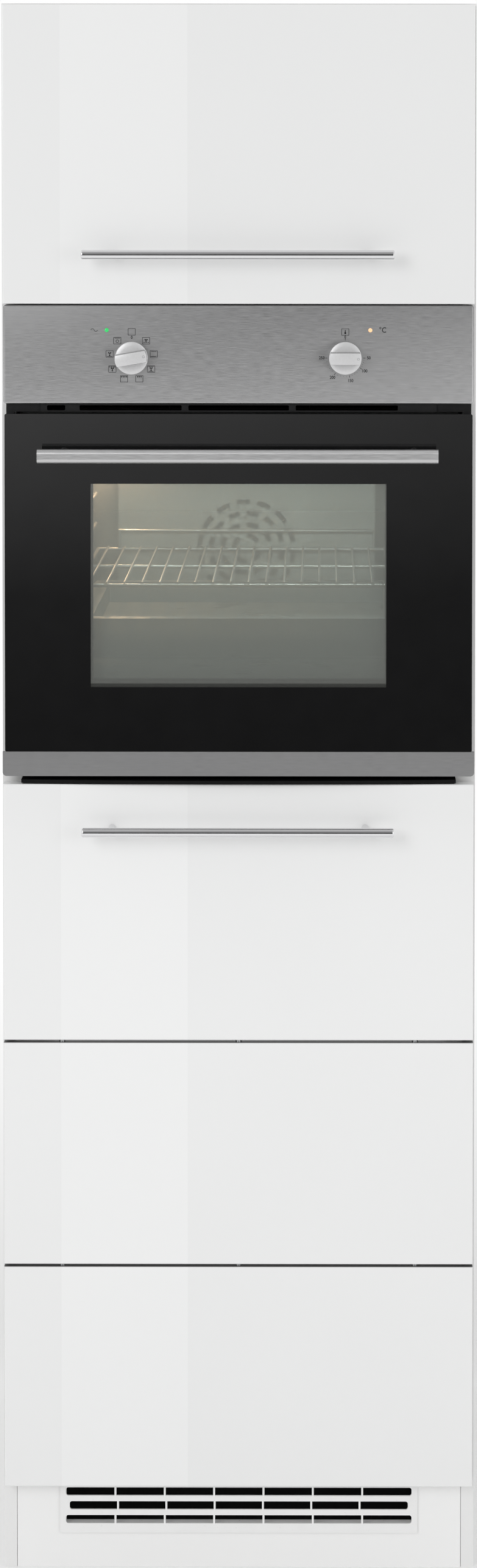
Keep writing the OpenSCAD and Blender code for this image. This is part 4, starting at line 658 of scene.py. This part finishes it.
def knob(name, x, pointer, body, node):
    """Round satin knob with a bar grip right across it; pointer is clockwise from the top."""
    bm = knob_skirt()
    grip = knob_grip()
    spare = bpy.data.meshes.new("spare")
    grip.to_mesh(spare)
    grip.free()
    bm.from_mesh(spare)
    bpy.data.meshes.remove(spare)
    bmesh.ops.recalc_face_normals(bm, faces=bm.faces)
    turn = Matrix.Rotation(-math.radians(pointer), 4, "Z")
    bmesh.ops.transform(bm, matrix=on_panel(x, KNOB_Z, KNOB_BACK) @ turn, verts=bm.verts)
    piece = new_piece(name, bm, "knob", body)
    piece.data.materials.append(FINISHES["knob_painted_shade"])
    smooth_by_angle(piece)
    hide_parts(node)
    # the pointer's mark: a fine ring near the grip's end
    mark = bmesh.new()
    ring_plate(mark, 0, KNOB_RADIUS - MARK_INSET, MARK_R, MARK_W)
    place = on_panel(x, KNOB_Z, KNOB_FRONT + MARK_PROUD) @ turn
    bmesh.ops.transform(mark, matrix=place, verts=mark.verts)
    new_piece(name + "_mark", mark, "ink", body)


# ------------------------------------------------------------------ printed symbols

FRAME_HALF_W, FRAME_HALF_H = 4.6 * MM, 4.1 * MM  # frame round each symbol
SYMBOL_R = 28.2 * MM                             # the symbols' distance from the knob's centre
TOP_SYMBOL_R = 32.8 * MM                         # the topmost one leaves room for a zero
HEAT_HALF_W, HEAT_Y = 3.3 * MM, 3 * MM           # lines for top and bottom heat
TOOTH, TOOTH_PITCH, TEETH_Y = 1.8 * MM, 2.1 * MM, 3.4 * MM
HUB_R, BLADE_R, BLADE_REACH = 0.6 * MM, 0.9 * MM, 1.8 * MM
BLADE_W, BLADE_ANGLES = 0.7 * MM, (50, 130, 270)
DROP_R, DROP_X, DROP_Y = 0.75 * MM, 2.6 * MM, 2.2 * MM
FIGURE_H = 5.4 * MM


def symbol_frame(bm, x, y):
    corners = [(x + sx * FRAME_HALF_W, y + sy * FRAME_HALF_H)
               for sx, sy in ((-1, -1), (1, -1), (1, 1), (-1, 1))]
    for here, there in zip(corners, corners[1:] + corners[:1]):
        bar_plate(bm, *here, *there)


def fan_symbol(bm, x, y):
    """Three blades round a dot."""
    disc_plate(bm, x, y, HUB_R)
    for angle in BLADE_ANGLES:
        a = math.radians(angle)
        tip = (x + BLADE_REACH * math.cos(a), y + BLADE_REACH * math.sin(a))
        disc_plate(bm, *tip, BLADE_R)
        bar_plate(bm, x, y, *tip, BLADE_W)


def low_fan_symbol(bm, x, y):
    fan_symbol(bm, x, y - 0.4 * MM)


def drops_symbol(bm, x, y):
    for side in (-1, 1):
        disc_plate(bm, x + side * DROP_X, y - DROP_Y, DROP_R)


def ring_symbol(bm, x, y):
    ring_plate(bm, x, y - 0.6 * MM, 1.7 * MM)


def top_heat(bm, x, y):
    bar_plate(bm, x - HEAT_HALF_W, y + HEAT_Y, x + HEAT_HALF_W, y + HEAT_Y)


def bottom_heat(bm, x, y):
    bar_plate(bm, x - HEAT_HALF_W, y - HEAT_Y, x + HEAT_HALF_W, y - HEAT_Y)


def grill_teeth(bm, x, y, count=4):
    for i in range(count):
        tooth_plate(bm, x + (i - (count - 1) / 2) * TOOTH_PITCH, y + TEETH_Y, TOOTH)


def small_grill_teeth(bm, x, y):
    grill_teeth(bm, x, y, 3)


# What stands in each frame round the left knob, clockwise from the top
HEATING_SYMBOLS = (
    (),                                          # off
    (fan_symbol, drops_symbol),                  # thawing
    (top_heat, bottom_heat),
    (fan_symbol, top_heat, bottom_heat),
    (small_grill_teeth,),
    (grill_teeth,),
    (low_fan_symbol, grill_teeth),
    (fan_symbol, bottom_heat),
    (top_heat, ring_symbol),                     # a plain stand-in for printed letters
)
# Where the temperatures stand round the right knob, in degrees clockwise from the top
TEMPERATURES = {50: 90, 100: 124, 150: 167, 200: 213, 250: 270}


def printed_text(bm, words, x, y, size, narrow=0.88, bold=0.14 * MM):
    """Narrow bold figures set in Blender's own font, centred on x and y."""
    curve = bpy.data.curves.new("figures", "FONT")
    curve.body = words
    curve.size = size
    curve.align_x = "CENTER"
    curve.align_y = "CENTER"
    curve.extrude = PRINT_T / 2
    curve.offset = bold
    curve.resolution_u = 3
    holder = bpy.data.objects.new("figures", curve)
    bpy.context.scene.collection.objects.link(holder)
    bpy.context.view_layer.update()
    evaluated = holder.evaluated_get(bpy.context.evaluated_depsgraph_get())
    mesh = bpy.data.meshes.new_from_object(evaluated)
    mesh.transform(Matrix.Translation((x, y, PRINT_T / 2)) @ Matrix.Diagonal((narrow, 1, 1, 1)))
    bm.from_mesh(mesh)
    bpy.data.objects.remove(holder)
    bpy.data.curves.remove(curve)
    bpy.data.meshes.remove(mesh)


def around(angle, radius):
    """Point at an angle clockwise from the top."""
    a = math.radians(angle)
    return radius * math.sin(a), radius * math.cos(a)


def print_on_panel(name, bm, x, z):
    bmesh.ops.transform(bm, matrix=on_panel(x, z), verts=bm.verts)
    new_piece(name, bm, "ink", "housing")


def function_dial():
    """Framed symbols for the ways of heating, at equal steps round the left knob."""
    bm = bmesh.new()
    for step, symbols in enumerate(HEATING_SYMBOLS):
        x, y = around(360 * step / len(HEATING_SYMBOLS), SYMBOL_R if step else TOP_SYMBOL_R)
        symbol_frame(bm, x, y)
        for symbol in symbols:
            symbol(bm, x, y)
    zero_y, zero_h = 25.7 * MM, 5.6 * MM
    printed_text(bm, "0", 0, zero_y, zero_h)
    print_on_panel("function_symbols", bm, -KNOB_X, KNOB_Z)


def temperature_dial():
    """Figures and ticks from 50 to 250 degrees round the right knob."""
    bulb_y, bulb_r = 31.4 * MM, 1.3 * MM         # a thermometer in the top frame
    stem_y, stem_w = 35.2 * MM, 1.1 * MM
    zero_y, zero_h = 26.3 * MM, 5.2 * MM
    zero_tick = (22.2 * MM, 24.4 * MM)
    tick = (22.6 * MM, 25.4 * MM)
    dot_place, dot_r = 23.6 * MM, 0.32 * MM
    figure_place, side_figure_place = 29.4 * MM, 29.6 * MM
    bm = bmesh.new()
    symbol_frame(bm, 0, TOP_SYMBOL_R)
    disc_plate(bm, 0, bulb_y, bulb_r)
    bar_plate(bm, 0, bulb_y, 0, stem_y, stem_w)
    printed_text(bm, "0", 0, zero_y, zero_h)
    bar_plate(bm, 0, zero_tick[0], 0, zero_tick[1])
    for figure, angle in TEMPERATURES.items():
        bar_plate(bm, *around(angle, tick[0]), *around(angle, tick[1]))
        beside = angle in (90, 270)
        place = around(angle, side_figure_place if beside else figure_place)
        printed_text(bm, str(figure), *place, FIGURE_H)
    angles = list(TEMPERATURES.values())
    for start, end in zip(angles, angles[1:]):
        for part in (1, 2, 3, 4):
            angle = start + (end - start) * part / 5
            disc_plate(bm, *around(angle, dot_place), dot_r, 8)
    print_on_panel("temperature_scale", bm, KNOB_X, KNOB_Z)


def light_symbols():
    """A wave beside the left signal light and a degree sign with C beside the right one."""
    wave_from_lamp, wave_r, wave_y = 15.8 * MM, 2.1 * MM, 0.4 * MM
    degree_from_lamp, degree_h = 15.6 * MM, 9.5 * MM
    x = -LAMP_X - wave_from_lamp
    bm = bmesh.new()
    ring_plate(bm, x - wave_r, -wave_y, wave_r, LINE, 10, 170, 40)
    ring_plate(bm, x + wave_r, wave_y, wave_r, LINE, 190, 350, 40)
    printed_text(bm, "°C", LAMP_X + degree_from_lamp, 0, degree_h)
    print_on_panel("light_symbols", bm, 0, LAMP_Z)


def signal_lens(name, x, finish, radius=2.6 * MM, flatness=0.5, depth=12 * MM):
    """Domed lens whose stem goes into the control panel."""
    bm = bmesh.new()
    bmesh.ops.create_uvsphere(bm, u_segments=32, v_segments=16, radius=radius)
    bmesh.ops.bisect_plane(bm, geom=[*bm.verts, *bm.edges, *bm.faces], plane_co=(0, 0, 0),
                           plane_no=(0, 0, -1), clear_outer=True)
    bmesh.ops.scale(bm, verts=bm.verts, vec=(1, 1, flatness))
    rim = [e for e in bm.edges if e.is_boundary]
    stem = bmesh.ops.extrude_edge_only(bm, edges=rim)
    bmesh.ops.translate(bm, verts=verts_of(stem), vec=(0, 0, -depth))
    bmesh.ops.holes_fill(bm, edges=[e for e in bm.edges if e.is_boundary])
    bmesh.ops.recalc_face_normals(bm, faces=bm.faces)
    bmesh.ops.transform(bm, matrix=on_panel(x, LAMP_Z), verts=bm.verts)
    lens = new_piece(name, bm, finish, "housing")
    smooth_by_angle(lens)
    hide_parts("signal_lights")


# ------------------------------------------------------------------ room, lights and camera

CAMERA_PLACE = (0.10344, -4.0023, 1.79964)
CAMERA_PITCH, CAMERA_YAW, CAMERA_ROLL = (math.radians(a) for a in (1.5625, -0.0693, 0.0475))
CAMERA_LENS = 67.996
CAMERA_SHIFT = (-0.0501, -0.3450)                # keeps the uprights parallel, as in the photo
FLOOR_SIZE = 9
FLOOR_FADE = (0.7, 2.6)                          # the floor turns white between these distances
PAINTED_SHADE_DEPTH = 0.27                          # painted shade: a black sheet under the unit, seen through the plinth's grille
PAINTED_SHADE_UP = 0.5 * MM
WORLD_STRENGTH = 0.86
# Soft lights in front of the unit: place, target, size and power
KEY_LIGHT = ((-2.4, -4.2, 3.0), (0, 0, 1.2), (2.0, 2.4), 54)
FILL_LIGHT = ((3.2, -3.6, 1.6), (0, 0, 0.9), (1.6, 2.4), 24)
OVEN_LAMP_POWER, OVEN_LAMP_R, OVEN_LAMP_COLOR = 6.0, 12 * MM, (1.0, 0.62, 0.38)
OVEN_FILL_POWER, OVEN_FILL_SIZE, OVEN_FILL_COLOR = 2.8, (0.36, 0.03), (0.95, 1.0, 0.97)


def stage_plane(name, size, place, material):
    """Flat helper that belongs to the room."""
    bm = bmesh.new()
    bmesh.ops.create_grid(bm, x_segments=1, y_segments=1, size=0.5)
    bmesh.ops.scale(bm, verts=bm.verts, vec=(*size, 1))
    mesh = bpy.data.meshes.new(name)
    bm.to_mesh(mesh)
    bm.free()
    mesh.materials.append(material)
    plane = bpy.data.objects.new(name, mesh)
    plane.location = place
    bpy.context.scene.collection.objects.link(plane)


def stage_floor():
    """Pale floor that runs out into white, and a black sheet behind the plinth's grille, painted
    shade under the unit.
    """
    f = Finish("pale_floor", (0.9, 0.9, 0.9), 0.8)
    distance = f.node("VectorMath", operation="LENGTH")
    f.join(f.place, distance, 0)
    white = f.node("Emission")
    fade = f.span(distance.outputs["Value"], *FLOOR_FADE)
    f.surface(f.shader_mix(fade, f.shader.outputs[0], white.outputs[0]))
    stage_plane("floor", (FLOOR_SIZE, FLOOR_SIZE), (0, 0, 0), f.mat)
    # painted shade: a near-black sheet under the unit
    dark = Finish("painted_shade_beneath", (0.004, 0.004, 0.004), 0.9, Specular_IOR_Level=0.1)
    width = high("plinth_board").x - low("plinth_board").x
    middle_y = high("plinth_board").y + PAINTED_SHADE_DEPTH / 2
    stage_plane("painted_shade_beneath", (width, PAINTED_SHADE_DEPTH), (0, middle_y, PAINTED_SHADE_UP),
                dark.mat)


def world_light(strength):
    """White surroundings with a darker strip in front, which draws the streaks on bright metal
    and the fall of light on the black glass; pure white where the camera sees them."""
    world = bpy.data.worlds.new("studio")
    bpy.context.scene.world = world
    world.use_nodes = True
    w = Wiring(world.node_tree)
    parts = w.node("SeparateXYZ")
    w.join(w.node("TexCoord").outputs["Generated"], parts, 0)
    x, y, z = (parts.outputs[name] for name in "XYZ")
    # brightness of the front strip by height
    strip = w.ramp(w.span(z, -1, 1), (
        (0.3, 0.9), (0.37, 0.08), (0.5, 0.05), (0.6, 0.06), (0.68, 0.3), (1.0, 0.6)))
    # the pale patch that the upper left of the glass mirrors
    glow = w.ramp(w.span(z, -0.23, -0.06), (
        (0.0, 0.0), (0.25, 0.03), (0.5, 0.15), (0.8, 0.85), (0.9, 1.0), (1.0, 0.0)))
    patch = w.math("MULTIPLY", glow, w.level(w.span(x, 0.06, -0.1), 0.5, 1.0))
    front = w.math("ADD", strip, patch)
    in_front = w.math("MULTIPLY", w.span(w.math("ABSOLUTE", x), 0.32, 0.18),
                      w.span(y, 0.0, -0.3))
    elsewhere = w.level(w.span(z, -0.1, 0.1), 0.85, 1.0)
    light = w.math("MULTIPLY", w.level(in_front, elsewhere, front), strength)
    seen = w.node("LightPath").outputs["Is Camera Ray"]
    w.join(w.level(seen, light, 1.0), w.nodes["Background"], "Strength")
    w.join((1, 1, 1, 1), w.nodes["Background"], "Color")


def new_light(name, kind, place, power, color):
    data = bpy.data.lights.new(name, kind)
    data.energy = power
    data.color = color
    lamp = bpy.data.objects.new(name, data)
    lamp.location = place
    bpy.context.scene.collection.objects.link(lamp)
    return lamp


def area_light(name, place, target, size, power, color=(1, 1, 1)):
    lamp = new_light(name, "AREA", place, power, color)
    lamp.data.shape = "RECTANGLE"
    lamp.data.size, lamp.data.size_y = size
    lamp.rotation_euler = (Vector(target) - Vector(place)).to_track_quat("-Z", "Y").to_euler()


def point_light(name, place, power, radius, color):
    new_light(name, "POINT", place, power, color).data.shadow_soft_size = radius


def photo_camera():
    """Camera a little right of the middle at eye height, looking slightly down."""
    data = bpy.data.cameras.new("photo_camera")
    data.sensor_width = 36
    data.lens = CAMERA_LENS
    data.shift_x, data.shift_y = CAMERA_SHIFT
    data.clip_start = 0.1
    camera = bpy.data.objects.new("photo_camera", data)
    level_in = Vector((math.sin(CAMERA_YAW), math.cos(CAMERA_YAW), 0))
    look = level_in * math.cos(CAMERA_PITCH) - Vector((0, 0, math.sin(CAMERA_PITCH)))
    right = Vector((math.cos(CAMERA_YAW), -math.sin(CAMERA_YAW), 0))
    up = right.cross(look)
    side = math.cos(CAMERA_ROLL) * right + math.sin(CAMERA_ROLL) * up
    top = -math.sin(CAMERA_ROLL) * right + math.cos(CAMERA_ROLL) * up
    turn = Matrix((side, top, -look)).transposed().to_4x4()
    camera.matrix_world = Matrix.Translation(CAMERA_PLACE) @ turn
    bpy.context.scene.collection.objects.link(camera)
    bpy.context.scene.camera = camera


def studio():
    bpy.context.scene.view_settings.view_transform = "Standard"
    stage_floor()
    world_light(WORLD_STRENGTH)
    area_light("key", *KEY_LIGHT)
    area_light("fill", *FILL_LIGHT)
    # the oven's own lamp, and a dim strip inside its door that shows the cavity
    lamp_place = (-0.17, CAVITY_HIGH.y - 0.05, CAVITY_HIGH.z - 0.04)
    point_light("oven_lamp_glow", lamp_place, OVEN_LAMP_POWER, OVEN_LAMP_R, OVEN_LAMP_COLOR)
    centre = (CAVITY_LOW + CAVITY_HIGH) / 2
    fill_place = (centre.x, CAVITY_LOW.y + 0.03, CAVITY_HIGH.z - 0.02)
    fill_target = (centre.x, centre.y, CAVITY_LOW.z + 0.1)
    area_light("oven_fill", fill_place, fill_target, OVEN_FILL_SIZE, OVEN_FILL_POWER,
               OVEN_FILL_COLOR)


# ------------------------------------------------------------------ build

photo_camera()
dress_frame()
control_panel()
knob("function_knob_turned", -KNOB_X, 80, "function_control", "function_knob")
knob("temperature_knob_turned", KNOB_X, 90, "temperature_control", "temperature_knob")
function_dial()
temperature_dial()
light_symbols()
signal_lens("power_lens", -LAMP_X, "green_light")
signal_lens("heating_lens", LAMP_X, "orange_light")
studio()
